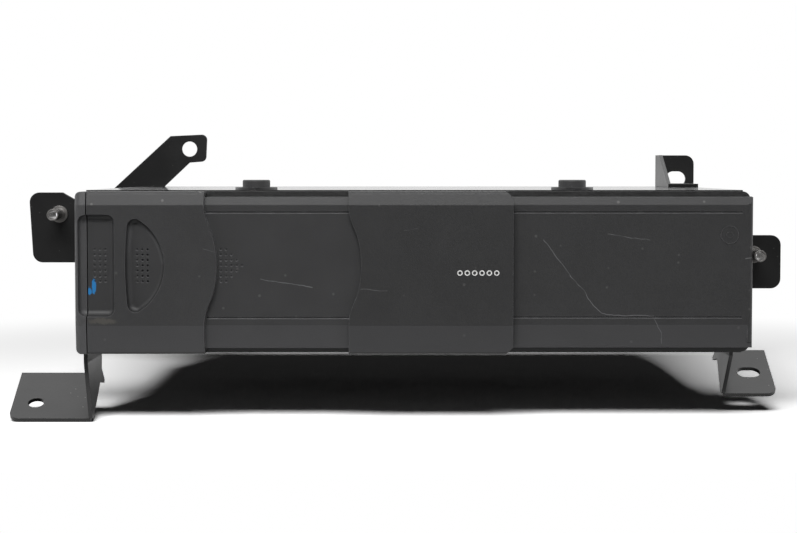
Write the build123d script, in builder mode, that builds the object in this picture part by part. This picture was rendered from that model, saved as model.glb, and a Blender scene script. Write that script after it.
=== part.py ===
from build123d import *
import os
from math import cos, radians, sin

# A car disc changer: a sheet steel case whose plastic front has a door that telescopes
# open to the right.  Behind it lie a magazine of six disc trays and a player that a
# screw lifts beside the magazine, and a folded steel bracket stands on each side.
# Millimetres.  +X is right as seen from the front, +Y goes into the depth, +Z is up,
# and the origin is the centre of the case's flat underside.

os.makedirs("parts", exist_ok=True)

# Fits
seam = 0.4                  # a visible joint between two fixed or closed mouldings
running_gap = 0.3           # between pieces that slide past each other
shaft_fit = 0.05            # radial, between a shaft and its bore
seat_gap = 0.2              # between a loose piece and what it rests on

# Case
case_sheet = 1.0
button_bay_width = 16.0     # from the case's left side to the magazine
top_room = 9.0              # from the magazine's top to the case's top
cover_lip = 9.0             # height of the cover's turned-down edges
screw_head_radius = 2.6
screw_head_height = 1.3
screw_shank_radius = 1.2
screw_length = 4.0

# Front
fascia_overhang = 2.5       # past the case on each side
fascia_inset = 0.5          # the front ends this far inside the case's top and bottom
fascia_depth = 14.0         # from the door's face back to the case
frame_thickness = 2.3
frame_corner = 3.0
end_cap_width = 4.3
grip_width = 43.9
tongue_window = 54.1        # the tongue's length in sight while the door is shut
cover_width = 61.7
cover_stop = 1.6            # the open door stays this far inside the right end
wave_bulge = 4.7            # how far the door's wavy edges swell in the middle
door_step = 2.6             # from the door's outer face back to the tongue's
tongue_thickness = 1.9
fixed_panel_thickness = 2.0
low_margin = 2.1            # the lower faces end this far inside the door's top and bottom
upper_crease = 5.0          # crease of the facet below the top
lower_crease = 10.8         # crease of the facet above the bottom
facet_setback = 1.2
outer_round = 1.2
flange_thickness = 1.6
lip_depth = 1.0
lip_thickness = 0.8
rail_thickness = 2.3
line_width = 0.6            # the fine lines along the lower faces
line_depth = 0.35
line_inset = 2.8            # from the crease to the line
line_end = 4.1              # the lines stop this far before the right end
corner_chamfer = 2.4

# Finger recesses
scoop_depth = 3.3
scoop_low_margin = 3.4      # from the lower crease
scoop_high_margin = 3.6     # from the upper crease
finger_scoop_width = 10.3   # on the grip; it runs on into the end cap
finger_scoop_reach = 2.9    # how far it runs past the seam
grip_bar_width = 4.1
thumb_scoop_width = 14.6
scoop_floor_round = 2.4
dot_pitch = 2.0
dot_radius = 0.42
dot_depth = 0.3

# Magazine and its trays
disc_radius = 60.0
disc_gap = 0.6              # around a disc in its tray
tray_count = 6
tray_pitch = 6.6
tray_thickness = 3.0
tray_side_rim = 1.2
tray_end_rim = 2.5
tray_side_gap = 0.4
tray_setback = 0.5          # inside the magazine's open side
disc_pocket_depth = 1.5
hub_slot_width = 28.0
magazine_skin = 1.2
magazine_wall = 2.5
magazine_floor_height = 9.0
magazine_rib = 1.8
magazine_setback = 2.0      # its front face behind the case's front
magazine_side_gap = 1.5
magazine_headroom = 1.0     # under the lowest tray and over the highest
door_gap = 0.2              # between the open door and the window
magazine_grip_width = 46.0
eject_travel = 2.5
eject_button_width = 6.0
eject_button_height = 18.0

# Chassis and suspension
chassis_floor_height = 3.5
chassis_sheet = 1.2
chassis_left_gap = 3.0      # from the magazine to the chassis's left wall
chassis_side_margin = 13.0  # from the case's right side in to the chassis's wall
chassis_front_gap = 4.0     # from the case's front back to the chassis
chassis_rear_gap = 1.0      # from the chassis to the main board
damper_radius = 4.5
damper_height = 10.0
damper_inset = 7.0
damper_spread = 52.0        # before and behind the middle
cap_spread = 61.0
cap_setback = 11.0          # from the case's front edge to the caps' centres
cap_radius = 5.3
cap_height = 3.8
retainer_radius = 8.1
retainer_height = 1.0

# Lift and player
carriage_sheet = 1.0
carriage_floor_gap = 0.7
carriage_gap = 5.0          # from the magazine's open side to the carriage
carriage_end_gap = 4.0      # behind the chassis's front edge
carriage_overhang = 2.0     # past the magazine's rear
post_radius = 1.5
post_inset = 4.5
boss_wall = 2.0
lift_screw_radius = 2.5
screw_end_radius = 1.6
gear_module = 0.6
lift_gear_teeth = 30
lift_pinion_teeth = 10
gear_thickness = 2.2
gear_backlash = 0.34        # taken off each tooth's width at the pitch line
motor_radius = 6.0
motor_length = 22.0
motor_gap = 0.5             # between the magazine and the lift's motor
gear_room = 0.6             # between the lift's gear and the frame's back
spindle_reach = 26.0        # from the magazine's open side to the turntable's axis
spindle_shaft_radius = 1.0
spindle_motor_radius = 12.0
spindle_motor_height = 4.6
turntable_radius = 13.0
turntable_thickness = 1.5
hub_radius = 7.2
hub_height = 1.4
clamp_radius = 14.0
clamp_thickness = 2.4
clamp_stem_radius = 1.5
clamp_arm_width = 22.0
clamp_arm_thickness = 1.4
arm_pin_radius = 1.0
sled_width = 27.0
sled_length = 13.0
sled_height = 4.0
sled_start = 23.0           # the lens's distance from the axis at the innermost track
sled_travel = 35.0
sled_rod_radius = 1.0
sled_screw_radius = 1.2
sled_motor_radius = 2.6
sled_motor_length = 12.0
lens_radius = 2.4
lens_height = 0.8
lens_lift = 0.4             # above the sled, room for its focusing

# Electronics
board_thickness = 1.6
board_width = 196.0
board_floor_height = 9.0
board_edge = 5.0            # from the board's edges to its spacers
switch_board_width = 7.0
board_standoff = 2.4        # from the case's rear wall
socket_width = 22.0
socket_height = 16.0
socket_depth = 11.0
socket_wall = 1.5
socket_x = 60.0
pin_size = 1.0
pin_pitch = 2.5
pin_columns = 6

# Brackets
bracket_sheet = 1.5
strap_top = 46.0
strap_bottom = 16.0
ear_setback = 8.0           # from the fascia's back plane to the ears' faces
ear_corner = 3.8
left_ear_reach = 22.9
left_ear_bottom = 34.1
left_ear_top = 61.0
right_ear_reach = 15.8
right_ear_bottom = 24.1
right_ear_top = 44.6
left_stud_reach = 11.2
left_stud_height = 52.7
right_stud_reach = 5.2
right_stud_height = 37.2
stud_radius = 2.2
stud_bore_radius = 1.7
stud_length = 15.0
stud_flange_radius = 3.2
stud_flange_height = 1.0
left_foot_length = 31.5
left_foot_drop = 24.9       # from the case's underside down to the foot's front edge
right_foot_length = 21.3
right_foot_drop = 18.5
foot_depth = 31.0           # along its slope
foot_slope = 28.0
foot_corner = 4.0
foot_lead = 4.0             # each foot's front edge before its leg's front edge
right_leg_setback = 26.4    # the right leg stands this far behind the case's front
leg_straight = 4.0          # the legs run straight this far down before they lean
left_leg_lean = 2.4
right_leg_lean = 3.6
leg_lobe = 8.5              # the legs end this far behind their feet
foot_hole_radius = 3.05
slot_length = 9.2
slot_width = 6.9
arm_hole_radius = 3.5
left_hole_inset = 9.0       # from the left foot's outer end to its hole
left_hole_depth = 10.4      # from the foot's front edge, along its slope
right_slot_inset = 12.3     # from the right leg to its foot's slot
right_slot_depth = 14.9
arm_hole_inset = 22.0       # from the case's side in to the left arm's hole
arm_hole_rise = 17.3        # above the cover
arm_reach = 16.5            # how far the left arm stands out beside the case
web_length = 40.0           # the right web's foot, from the rear forward
web_inset = 11.7            # from the case's side in to the web
tab_rise = 14.4             # the right tab's top above the cover
tab_reach = 5.9             # how far the tab stands out beside the case
tab_slot_inset = 2.5
tab_slot_rise = 3.5
bracket_rear_gap = 1.0      # from the case's rear to the arm and the tab

# Places worked out from the sizes above
disc_pocket_radius = disc_radius + disc_gap
tray_width = 2 * (disc_pocket_radius + tray_side_rim)
tray_depth = 2 * (disc_pocket_radius + tray_end_rim)
magazine_width = magazine_wall + tray_side_gap + tray_width + tray_setback
magazine_depth = 2 * (magazine_wall + tray_side_gap) + tray_depth
magazine_height = tray_count * tray_pitch + 2 * (magazine_skin + magazine_headroom)
magazine_top = magazine_floor_height + magazine_height
gear_reach = gear_module * (lift_gear_teeth / 2 + 1)

# The open door's two leaves stand side by side in front of the player.
open_door_width = grip_width + 2 * running_gap + cover_width + cover_stop
player_bay_width = magazine_side_gap + door_gap + open_door_width - fascia_overhang
case_width = button_bay_width + magazine_width + player_bay_width
frame_room = motor_gap + motor_radius + gear_reach + gear_room + running_gap
board_room = board_thickness + board_standoff + case_sheet
case_depth = magazine_setback + magazine_depth + frame_room + board_room
case_height = magazine_top + top_room
fascia_height = case_height - 2 * fascia_inset
board_height = case_height - cover_lip - board_floor_height
half_width = case_width / 2
front = -case_depth / 2
rear = case_depth / 2
inner_side = half_width - case_sheet
left_face = -half_width - fascia_overhang
right_face = half_width + fascia_overhang
door_front = front - fascia_depth
door_bottom = fascia_inset
door_top = door_bottom + fascia_height
frame_front = front - frame_thickness
crease_low = door_bottom + lower_crease
crease_high = door_top - upper_crease
tongue_front = door_front + door_step
tongue_back = tongue_front + tongue_thickness
fixed_front = tongue_back + running_gap
fixed_back = fixed_front + fixed_panel_thickness
cover_wall = door_step - running_gap
low_bottom = door_bottom + low_margin
low_top = door_top - low_margin

grip_left = left_face + end_cap_width + seam
grip_right = grip_left + grip_width
cover_left = grip_right + tongue_window
cover_right = cover_left + cover_width
grip_travel = tongue_window - 2 * running_gap
cover_travel = right_face - cover_stop - cover_right
bay_right = grip_left + grip_travel + cover_travel

window_right = bay_right - door_gap
magazine_right = window_right - magazine_side_gap
magazine_left = magazine_right - magazine_width
window_left = magazine_left - magazine_side_gap
magazine_front = front + magazine_setback
magazine_rear = magazine_front + magazine_depth
window_bottom = magazine_floor_height - magazine_side_gap
window_top = magazine_top + magazine_side_gap
rail_outer = door_top - flange_thickness - running_gap
lip_back = frame_front - running_gap
lip_front = lip_back - lip_thickness


def block(x0, x1, y0, y1, z0, z1, mode=Mode.ADD):
    """A block given by the places of its six faces, each pair in either order."""
    with Locations(((x0 + x1) / 2, (y0 + y1) / 2, (z0 + z1) / 2)):
        Box(abs(x1 - x0), abs(y1 - y0), abs(z1 - z0), mode=mode)


def post(radius, x, y, z0, z1, mode=Mode.ADD):
    """An upright cylinder."""
    with Locations((x, y, (z0 + z1) / 2)):
        Cylinder(radius, z1 - z0, mode=mode)


def shaft(radius, x, z, y0, y1, mode=Mode.ADD):
    """A cylinder that runs from front to back."""
    with Locations((x, (y0 + y1) / 2, z)):
        Cylinder(radius, y1 - y0, rotation=(90, 0, 0), mode=mode)


def axle(radius, y, z, x0, x1, mode=Mode.ADD):
    """A cylinder that runs from side to side, its ends given in either order."""
    with Locations(((x0 + x1) / 2, y, z)):
        Cylinder(radius, abs(x1 - x0), rotation=(0, 90, 0), mode=mode)


def pin_place(column, row):
    """Where a pin of the rear socket stands, as X and Z."""
    middle = socket_floor + socket_height / 2
    return socket_x + (column - (pin_columns - 1) / 2) * pin_pitch, middle + (row - 0.5) * 2 * pin_pitch


def finish(built, name):
    """Name a finished piece and write its file."""
    built.part.label = name
    export_step(built.part, f"parts/{name}.step")


# ---------------------------------------------------------------- places inside

damper_x = half_width - damper_inset
chassis_left = magazine_left - chassis_left_gap
chassis_right = half_width - chassis_side_margin
chassis_front = front + chassis_front_gap
chassis_rear = rear - board_room - chassis_rear_gap
chassis_top = chassis_floor_height + chassis_sheet
tab_floor = case_sheet + damper_height

tray_floor = magazine_floor_height + magazine_skin + magazine_headroom
tray_left = magazine_left + magazine_wall + tray_side_gap
tray_right = tray_left + tray_width
tray_front = magazine_front + magazine_wall + tray_side_gap
tray_rear = tray_front + tray_depth
disc_x = (tray_left + tray_right) / 2
disc_y = (magazine_front + magazine_rear) / 2

spindle_x = magazine_right + spindle_reach
carriage_left = magazine_right + carriage_gap
carriage_right = chassis_right - 6
carriage_front = chassis_front + carriage_end_gap
carriage_rear = magazine_rear + carriage_overhang
carriage_floor = chassis_top + carriage_floor_gap
carriage_top = carriage_floor + carriage_sheet

screw_x = carriage_left + 2.5
screw_y = magazine_rear + motor_gap + motor_radius
gear_distance = gear_module * (lift_gear_teeth + lift_pinion_teeth) / 2
lift_motor_x = screw_x - gear_distance
lift_plate_top = magazine_top + 0.4
gear_floor = lift_plate_top + 0.2
boss_outer = post_radius + shaft_fit + boss_wall
post_places = [
    (carriage_left + post_inset, carriage_front + post_inset),
    (carriage_right - post_inset, carriage_front + post_inset),
    (carriage_right - post_inset, carriage_rear - post_inset),
]

socket_floor = board_floor_height + 4
board_back = rear - case_sheet - board_standoff
board_front = board_back - board_thickness
board_middle = board_floor_height + board_height / 2

bracket_outer = half_width + bracket_sheet
ear_front = frame_front + ear_setback
arm_front = rear + bracket_rear_gap
arm_back = arm_front + bracket_sheet
bracket_screw_ys = (front + 26, 0, rear - 26)
bracket_screw_height = (strap_bottom + strap_top) / 2
cover_screw_ys = (front + 26, 14)
cover_screw_height = case_height - cover_lip / 2
lug_size = 8.0
lug_x = inner_side - lug_size / 2
lug_heights = (window_bottom + 3, window_top - 3)
boss_radius = 3.0
boss_xs = (bay_right + 10, right_face - 20)
boss_heights = (crease_low + 2, crease_high - 4)
button_x = (left_face + end_cap_width + seam + window_left) / 2
button_height = case_height / 2
scoop_middle = (crease_low + scoop_low_margin + crease_high - scoop_high_margin) / 2
scoop_half = crease_high - scoop_high_margin - scoop_middle

# ---------------------------------------------------------------- case

with BuildPart() as case_pan:
    # Floor, two sides and the rear wall, open to the front and the top.
    block(-half_width, half_width, front, rear, 0, case_height - case_sheet)
    block(-inner_side, inner_side, front - 1, rear - case_sheet, case_sheet, case_height,
          Mode.SUBTRACT)
    for side in (-1, 1):
        # Lugs that take the front's screws.
        for z in lug_heights:
            block(side * lug_x - lug_size / 2, side * lug_x + lug_size / 2,
                  front, front + case_sheet, z - lug_size / 2, z + lug_size / 2)
            shaft(screw_shank_radius, side * lug_x, z, front - 1, front + 2, Mode.SUBTRACT)
        for y in bracket_screw_ys:
            axle(screw_shank_radius, y, bracket_screw_height, side * (inner_side - 1),
                 side * (half_width + 1), Mode.SUBTRACT)
        for y in cover_screw_ys:
            axle(screw_shank_radius, y, cover_screw_height, side * (inner_side - 1),
                 side * (half_width + 1), Mode.SUBTRACT)
    # Cut-out for the rear socket.
    block(socket_x - socket_width / 2, socket_x + socket_width / 2, rear - 2, rear + 1,
          socket_floor, socket_floor + socket_height, Mode.SUBTRACT)
finish(case_pan, "case_pan")

with BuildPart() as case_cover:
    # A flat lid whose turned-down edges stand just inside the pan's walls.
    lip_side = inner_side - seat_gap
    lip_rear = rear - case_sheet - seat_gap
    block(-half_width, half_width, front, rear, case_height - case_sheet, case_height)
    cover_lip_front = front + case_sheet + seat_gap
    block(-lip_side, lip_side, cover_lip_front, lip_rear, case_height - cover_lip, case_height)
    block(-lip_side + case_sheet, lip_side - case_sheet, cover_lip_front - 1, lip_rear - case_sheet,
          case_height - cover_lip - 1, case_height - case_sheet, Mode.SUBTRACT)
    for side in (-1, 1):
        for y in cover_screw_ys:
            axle(screw_shank_radius, y, cover_screw_height, side * (lip_side - 2),
                 side * half_width, Mode.SUBTRACT)
        post(cap_radius - 1, side * cap_spread, front + cap_setback, case_height - 4,
             case_height + 1, Mode.SUBTRACT)
finish(case_cover, "case_cover")

with BuildPart() as cover_screws:
    # Through the pan's side walls into the cover's turned-down edges.
    for side in (-1, 1):
        for y in cover_screw_ys:
            axle(screw_head_radius, y, cover_screw_height, side * half_width,
                 side * (half_width + screw_head_height))
            axle(screw_shank_radius - shaft_fit, y, cover_screw_height, side * half_width,
                 side * (half_width - screw_length))
finish(cover_screws, "cover_screws")

with BuildPart() as suspension_cap_retainers:
    # Flanged rings on the cover that hold the caps.
    for side in (-1, 1):
        post(retainer_radius, side * cap_spread, front + cap_setback, case_height,
             case_height + retainer_height)
        post(cap_radius + 0.1, side * cap_spread, front + cap_setback, case_height - 1,
             case_height + 2, Mode.SUBTRACT)
finish(suspension_cap_retainers, "suspension_cap_retainers")

for side, name in ((-1, "suspension_cap_left"), (1, "suspension_cap_right")):
    with BuildPart() as suspension_cap:
        # A rubber button whose stem goes down through the cover.
        post(cap_radius, side * cap_spread, front + cap_setback, case_height,
             case_height + cap_height)
        fillet(suspension_cap.edges().filter_by(GeomType.CIRCLE).sort_by(Axis.Z)[-1], 0.6)
        post(cap_radius - 1 - shaft_fit, side * cap_spread, front + cap_setback,
             case_height - case_sheet - 1, case_height)
    finish(suspension_cap, name)

# ---------------------------------------------------------------- front


def setback(z):
    """How far the faceted front stands back from its flat middle at height z."""
    if z > crease_high:
        return facet_setback * (z - crease_high) / (door_top - crease_high)
    if z < crease_low:
        return facet_setback * (crease_low - z) / (crease_low - door_bottom)
    return 0


def facet_plate(face, thickness, low, high):
    """Cross-section of a plate whose front has three facets: its face, seen along X."""
    Polygon(
        (face + setback(low), low),
        (face, crease_low),
        (face, crease_high),
        (face + setback(high), high),
        (face + setback(high) + thickness, high),
        (face + thickness, crease_high),
        (face + thickness, crease_low),
        (face + setback(low) + thickness, low),
        align=None,
    )


def door_section(thickness):
    """Cross-section of a full-height door piece: plate, two flanges and their lips."""
    facet_plate(door_front, thickness, door_bottom, door_top)
    for outer, inward in ((door_top, -1), (door_bottom, 1)):
        edge = outer + inward * flange_thickness
        with Locations(((door_front + 2 + lip_back) / 2, (outer + edge) / 2)):
            Rectangle(lip_back - door_front - 2, flange_thickness)
        with Locations((lip_back - lip_thickness / 2, edge + inward * lip_depth / 2)):
            Rectangle(lip_thickness, lip_depth)
    corners = vertices().group_by(Axis.Y)
    fillet([corners[-1].sort_by(Axis.X)[0], corners[0].sort_by(Axis.X)[0]], outer_round)


def wave_edge(x):
    """A door edge that swells to the right between the two creases."""
    middle = (crease_low + crease_high) / 2
    quarter = (crease_high - crease_low) / 4
    Spline(
        (x, crease_low),
        (x + 0.66 * wave_bulge, middle - quarter),
        (x + wave_bulge, middle),
        (x + 0.66 * wave_bulge, middle + quarter),
        (x, crease_high),
        tangents=((0, 1), (0, 1)),
    )


def line_grooves(x0, x1, face):
    """The two fine lines that run along a lower face."""
    for z in (crease_low + line_inset, crease_high - line_inset):
        block(x0, x1, face - 1, face + line_depth, z - line_width / 2, z + line_width / 2,
              Mode.SUBTRACT)


with BuildPart() as finger_scoop:
    # What a fingertip presses into the grip and the end cap, as a solid to take away.
    scoop_right = grip_left + finger_scoop_width
    scoop_left = grip_left - seam - finger_scoop_reach
    with BuildSketch(Plane.XZ.offset(-door_front - scoop_depth)):
        with Locations(((scoop_left + scoop_right) / 2, scoop_middle)):
            RectangleRounded(scoop_right - scoop_left, 2 * scoop_half, 2.8)
    extrude(amount=scoop_depth + 2)
    fillet(finger_scoop.faces().sort_by(Axis.Y)[-1].edges(), scoop_floor_round)

with BuildPart() as thumb_scoop:
    # A D lying on its straight side, deepest there and rising to the right.
    d_left = grip_left + finger_scoop_width + grip_bar_width
    with BuildSketch(Plane.XZ.offset(-door_front - scoop_depth)):
        with BuildLine():
            ThreePointArc((d_left + 1.2, scoop_middle - scoop_half), (d_left, scoop_middle),
                          (d_left + 1.2, scoop_middle + scoop_half))
            ThreePointArc((d_left + 1.2, scoop_middle + scoop_half),
                          (d_left + thumb_scoop_width, scoop_middle),
                          (d_left + 1.2, scoop_middle - scoop_half))
        make_face()
        fillet(vertices(), 3.0)
    extrude(amount=scoop_depth + 2)
    split(bisect_by=Plane(origin=(d_left, door_front + scoop_depth, scoop_middle),
                          z_dir=(sin(radians(6.5)), cos(radians(6.5)), 0)), keep=Keep.BOTTOM)
    floor_edges = thumb_scoop.faces().filter_by(GeomType.PLANE).sort_by(Axis.Y)[-1].edges()
    fillet(floor_edges, scoop_floor_round * 0.8)

with BuildPart() as door_grip:
    # Full-height grip, cut to the wavy outline.
    with BuildSketch(Plane.YZ.offset(grip_left)):
        door_section(door_step + tongue_thickness)
    extrude(amount=grip_width + wave_bulge + 1)
    with BuildSketch(Plane.XZ):
        with BuildLine():
            wave_edge(grip_right)
            Polyline(
                (grip_right, crease_high),
                (grip_right, door_top + 1),
                (grip_left - 1, door_top + 1),
                (grip_left - 1, door_bottom - 1),
                (grip_right, door_bottom - 1),
                (grip_right, crease_low),
            )
        make_face()
    extrude(amount=2 * case_depth, both=True, mode=Mode.INTERSECT)
    # The lower tongue that reaches under the cover.
    with BuildSketch(Plane.YZ.offset(grip_right - 2)):
        facet_plate(tongue_front, tongue_thickness, low_bottom, low_top)
    extrude(amount=cover_right - grip_travel - 1 - grip_right + 2)
    line_grooves(grip_right + 0.5, cover_right - grip_travel, tongue_front)
    add(finger_scoop.part, mode=Mode.SUBTRACT)
    add(thumb_scoop.part, mode=Mode.SUBTRACT)
    # Grip dots pressed into the floors of the recesses.
    for x, columns, depth in (
        (grip_left + 2.6, 3, scoop_depth),
        (d_left + 4.2, 3, scoop_depth - 0.3),
    ):
        for column in range(columns):
            for row in range(7):
                shaft(dot_radius, x + column * dot_pitch, scoop_middle + (row - 3) * dot_pitch,
                      door_front + depth - 1.2, door_front + depth + dot_depth, Mode.SUBTRACT)
    # An arrow of dots on the tongue that points the way the door slides.
    for column, rows in enumerate((7, 7, 5, 3, 1)):
        for row in range(rows):
            shaft(dot_radius, grip_right + wave_bulge + 1.4 + column * dot_pitch,
                  scoop_middle + (row - (rows - 1) / 2) * dot_pitch,
                  tongue_front - 1, tongue_front + dot_depth, Mode.SUBTRACT)
finish(door_grip, "door_grip")

with BuildPart() as door_cover:
    with BuildSketch(Plane.YZ.offset(cover_left)):
        door_section(cover_wall)
    extrude(amount=cover_width)
    with BuildSketch(Plane.XZ):
        with BuildLine():
            wave_edge(cover_left)
            Polyline(
                (cover_left, crease_high),
                (cover_left, door_top + 1),
                (cover_right - corner_chamfer - 1, door_top + 1),
                (cover_right, door_top - corner_chamfer),
                (cover_right, door_bottom + corner_chamfer),
                (cover_right - corner_chamfer - 1, door_bottom - 1),
                (cover_left, door_bottom - 1),
                (cover_left, crease_low),
            )
        make_face()
    extrude(amount=2 * case_depth, both=True, mode=Mode.INTERSECT)
finish(door_cover, "door_cover")

with BuildPart() as fascia_end_cap:
    # Fixed left end, rounded outside, with the rest of the finger recess in it.
    with BuildSketch(Plane.YZ.offset(left_face)):
        facet_plate(door_front, frame_front - door_front, door_bottom, door_top)
    extrude(amount=end_cap_width)
    block(left_face - 1, left_face + end_cap_width + 1, frame_front, front, door_bottom - 1,
          door_top + 1, Mode.SUBTRACT)
    outside = fascia_end_cap.faces().sort_by(Axis.X)[0].edges()
    fillet(outside.sort_by(Axis.Y)[:-1], outer_round * 2)
    add(finger_scoop.part, mode=Mode.SUBTRACT)
finish(fascia_end_cap, "fascia_end_cap")

rail_front = fixed_back + max(setback(low_top), setback(low_bottom)) + running_gap
rail_inner = rail_outer - rail_thickness

with BuildPart() as fascia_frame:
    # A plate with rounded corners and the magazine's window.
    with BuildSketch(Plane.XZ.offset(-front)):
        with Locations((0, case_height / 2)):
            RectangleRounded(2 * right_face, fascia_height, frame_corner)
        with Locations(((window_left + window_right) / 2, (window_bottom + window_top) / 2)):
            Rectangle(window_right - window_left, window_top - window_bottom, mode=Mode.SUBTRACT)
        with Locations((button_x, button_height)):
            Rectangle(eject_button_width + 2 * running_gap,
                      eject_button_height + 2 * running_gap, mode=Mode.SUBTRACT)
    extrude(amount=frame_thickness)
    # Two rails along the top and bottom; the door's lips ride in their grooves.
    for outer, inward in ((rail_outer, -1), (case_height - rail_outer, 1)):
        block(left_face + end_cap_width, right_face, rail_front, frame_front,
              outer, outer + inward * rail_thickness)
        block(left_face, right_face + 1, lip_front - running_gap, frame_front,
              outer - inward, outer + inward * (lip_depth + seat_gap), Mode.SUBTRACT)
    # Holes for the screws that hold it to the pan and that hold the fixed panel.
    for z in lug_heights:
        for side in (-1, 1):
            shaft(screw_shank_radius, side * lug_x, z, frame_front - 1, front + 1, Mode.SUBTRACT)
    for x in boss_xs:
        for z in boss_heights:
            shaft(screw_shank_radius, x, z, frame_front - 1, front + 1, Mode.SUBTRACT)
finish(fascia_frame, "fascia_frame")

with BuildPart() as fascia_fixed_panel:
    # The fixed right part of the front, with a rounded right end.
    with BuildSketch(Plane.YZ.offset(bay_right + 1)):
        facet_plate(fixed_front, fixed_panel_thickness, low_bottom, low_top)
    extrude(amount=right_face - bay_right - 1)
    block(right_face - 2, right_face, fixed_front, frame_front,
          case_height - rail_inner + seat_gap, rail_inner - seat_gap)
    for x in boss_xs:
        for z in boss_heights:
            shaft(boss_radius, x, z, fixed_front + 1, frame_front)
            shaft(screw_shank_radius, x, z, fixed_back, frame_front, Mode.SUBTRACT)
    corner = fascia_fixed_panel.edges().filter_by(Axis.Z).group_by(Axis.Y)[0].sort_by(Axis.X)[-1]
    fillet(corner, 1.5)
    line_grooves(bay_right, right_face - line_end, fixed_front)
finish(fascia_fixed_panel, "fascia_fixed_panel")

with BuildPart() as fascia_screws:
    for z in lug_heights:
        for side in (-1, 1):
            shaft(screw_head_radius, side * lug_x, z, frame_front - screw_head_height, frame_front)
            shaft(screw_shank_radius - shaft_fit, side * lug_x, z, frame_front, front + 2)
    for x in boss_xs:
        for z in boss_heights:
            shaft(screw_head_radius, x, z, front, front + screw_head_height)
            shaft(screw_shank_radius - shaft_fit, x, z, fixed_back + 0.5, front)
finish(fascia_screws, "fascia_screws")

# ---------------------------------------------------------------- eject button

stem_radius = 1.2
button_front = frame_front - 3.6
flange_back = front + 2.4
stem_back = flange_back + 4.0
switch_front = stem_back + eject_travel + running_gap
switch_depth = 2.0
switch_board_front = switch_front + switch_depth

with BuildPart() as eject_button:
    block(button_x - eject_button_width / 2, button_x + eject_button_width / 2,
          button_front, flange_back - 1.2, button_height - eject_button_height / 2,
          button_height + eject_button_height / 2)
    face_edges = eject_button.faces().sort_by(Axis.Y)[0].edges()
    fillet(face_edges, 0.8)
    block(button_x - eject_button_width / 2, button_x + eject_button_width / 2,
          flange_back - 1.2, flange_back, button_height - eject_button_height / 2 - 2,
          button_height + eject_button_height / 2 + 2)
    shaft(stem_radius, button_x, button_height, flange_back, stem_back)
finish(eject_button, "eject_button")

with BuildPart() as switch_board:
    # Stands on the pan behind the button.
    block(button_x - switch_board_width / 2, button_x + switch_board_width / 2,
          switch_board_front, switch_board_front + board_thickness, case_sheet,
          button_height + 14)
finish(switch_board, "switch_board")

with BuildPart() as eject_switch:
    block(button_x - 2, button_x + 2, switch_front + 0.7, switch_board_front,
          button_height - 2, button_height + 2)
    shaft(1.2, button_x, button_height, switch_front, switch_front + 0.7)
finish(eject_switch, "eject_switch")

with BuildPart() as eject_spring:
    shaft(3.6, button_x, button_height, flange_back + eject_travel + running_gap,
          switch_board_front)
    shaft(3.0, button_x, button_height, flange_back, switch_board_front + 1, Mode.SUBTRACT)
finish(eject_spring, "eject_spring")

# ---------------------------------------------------------------- chassis

with BuildPart() as chassis:
    block(chassis_left, chassis_right, chassis_front, chassis_rear, chassis_floor_height,
          chassis_top)
    for side, outside in ((-1, chassis_left), (1, chassis_right)):
        inside = outside - side * chassis_sheet
        block(inside, outside, chassis_front, chassis_rear, chassis_top, case_height / 2 + 8)
        for y in (-damper_spread, damper_spread):
            block(inside, side * (damper_x + 2), y - 5, y + 5, tab_floor,
                  tab_floor + chassis_sheet)
    for x, y in post_places:
        post(post_radius, x, y, chassis_floor_height - 1, chassis_top + 1, Mode.SUBTRACT)
    post(screw_end_radius, screw_x, screw_y, chassis_floor_height - 1, chassis_top + 1,
         Mode.SUBTRACT)
finish(chassis, "chassis")

with BuildPart() as suspension_dampers:
    # Oil-filled cups on the pan's floor under the chassis tabs.
    for side in (-1, 1):
        for y in (-damper_spread, damper_spread):
            post(damper_radius, side * damper_x, y, case_sheet, tab_floor)
finish(suspension_dampers, "suspension_dampers")

with BuildPart() as suspension_springs:
    for side in (-1, 1):
        for y in (-damper_spread, damper_spread):
            post(damper_radius + 1.0, side * damper_x, y, case_sheet, tab_floor)
            post(damper_radius + 0.2, side * damper_x, y, case_sheet - 1, tab_floor + 1,
                 Mode.SUBTRACT)
finish(suspension_springs, "suspension_springs")

with BuildPart() as magazine_rails:
    for x in (magazine_left + 14, magazine_right - 14):
        block(x - 3, x + 3, chassis_front, magazine_rear - 8, chassis_top,
              magazine_floor_height - seat_gap)
finish(magazine_rails, "magazine_rails")

# ---------------------------------------------------------------- magazine

with BuildPart() as magazine_shell:
    block(magazine_left, magazine_right, magazine_front, magazine_rear, magazine_floor_height,
          magazine_top)
    block(magazine_left + magazine_wall, magazine_right + 1, magazine_front + magazine_wall,
          magazine_rear - magazine_wall, magazine_floor_height + magazine_skin,
          magazine_top - magazine_skin, Mode.SUBTRACT)
    # A shelf rib along the front and rear walls under each tray.
    for tray in range(tray_count):
        rib_top = tray_floor + tray * tray_pitch - seat_gap
        for y0, y1 in (
            (magazine_front + magazine_wall, magazine_front + magazine_wall + magazine_rib),
            (magazine_rear - magazine_wall - magazine_rib, magazine_rear - magazine_wall),
        ):
            block(magazine_left + magazine_wall, magazine_right, y0, y1, rib_top - 0.8, rib_top)
    # A grip bar across the front.
    middle = (magazine_floor_height + magazine_top) / 2
    block(disc_x - magazine_grip_width / 2, disc_x + magazine_grip_width / 2,
          magazine_front - 1.6, magazine_front, middle - 3, middle + 3)
finish(magazine_shell, "magazine_shell")

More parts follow.
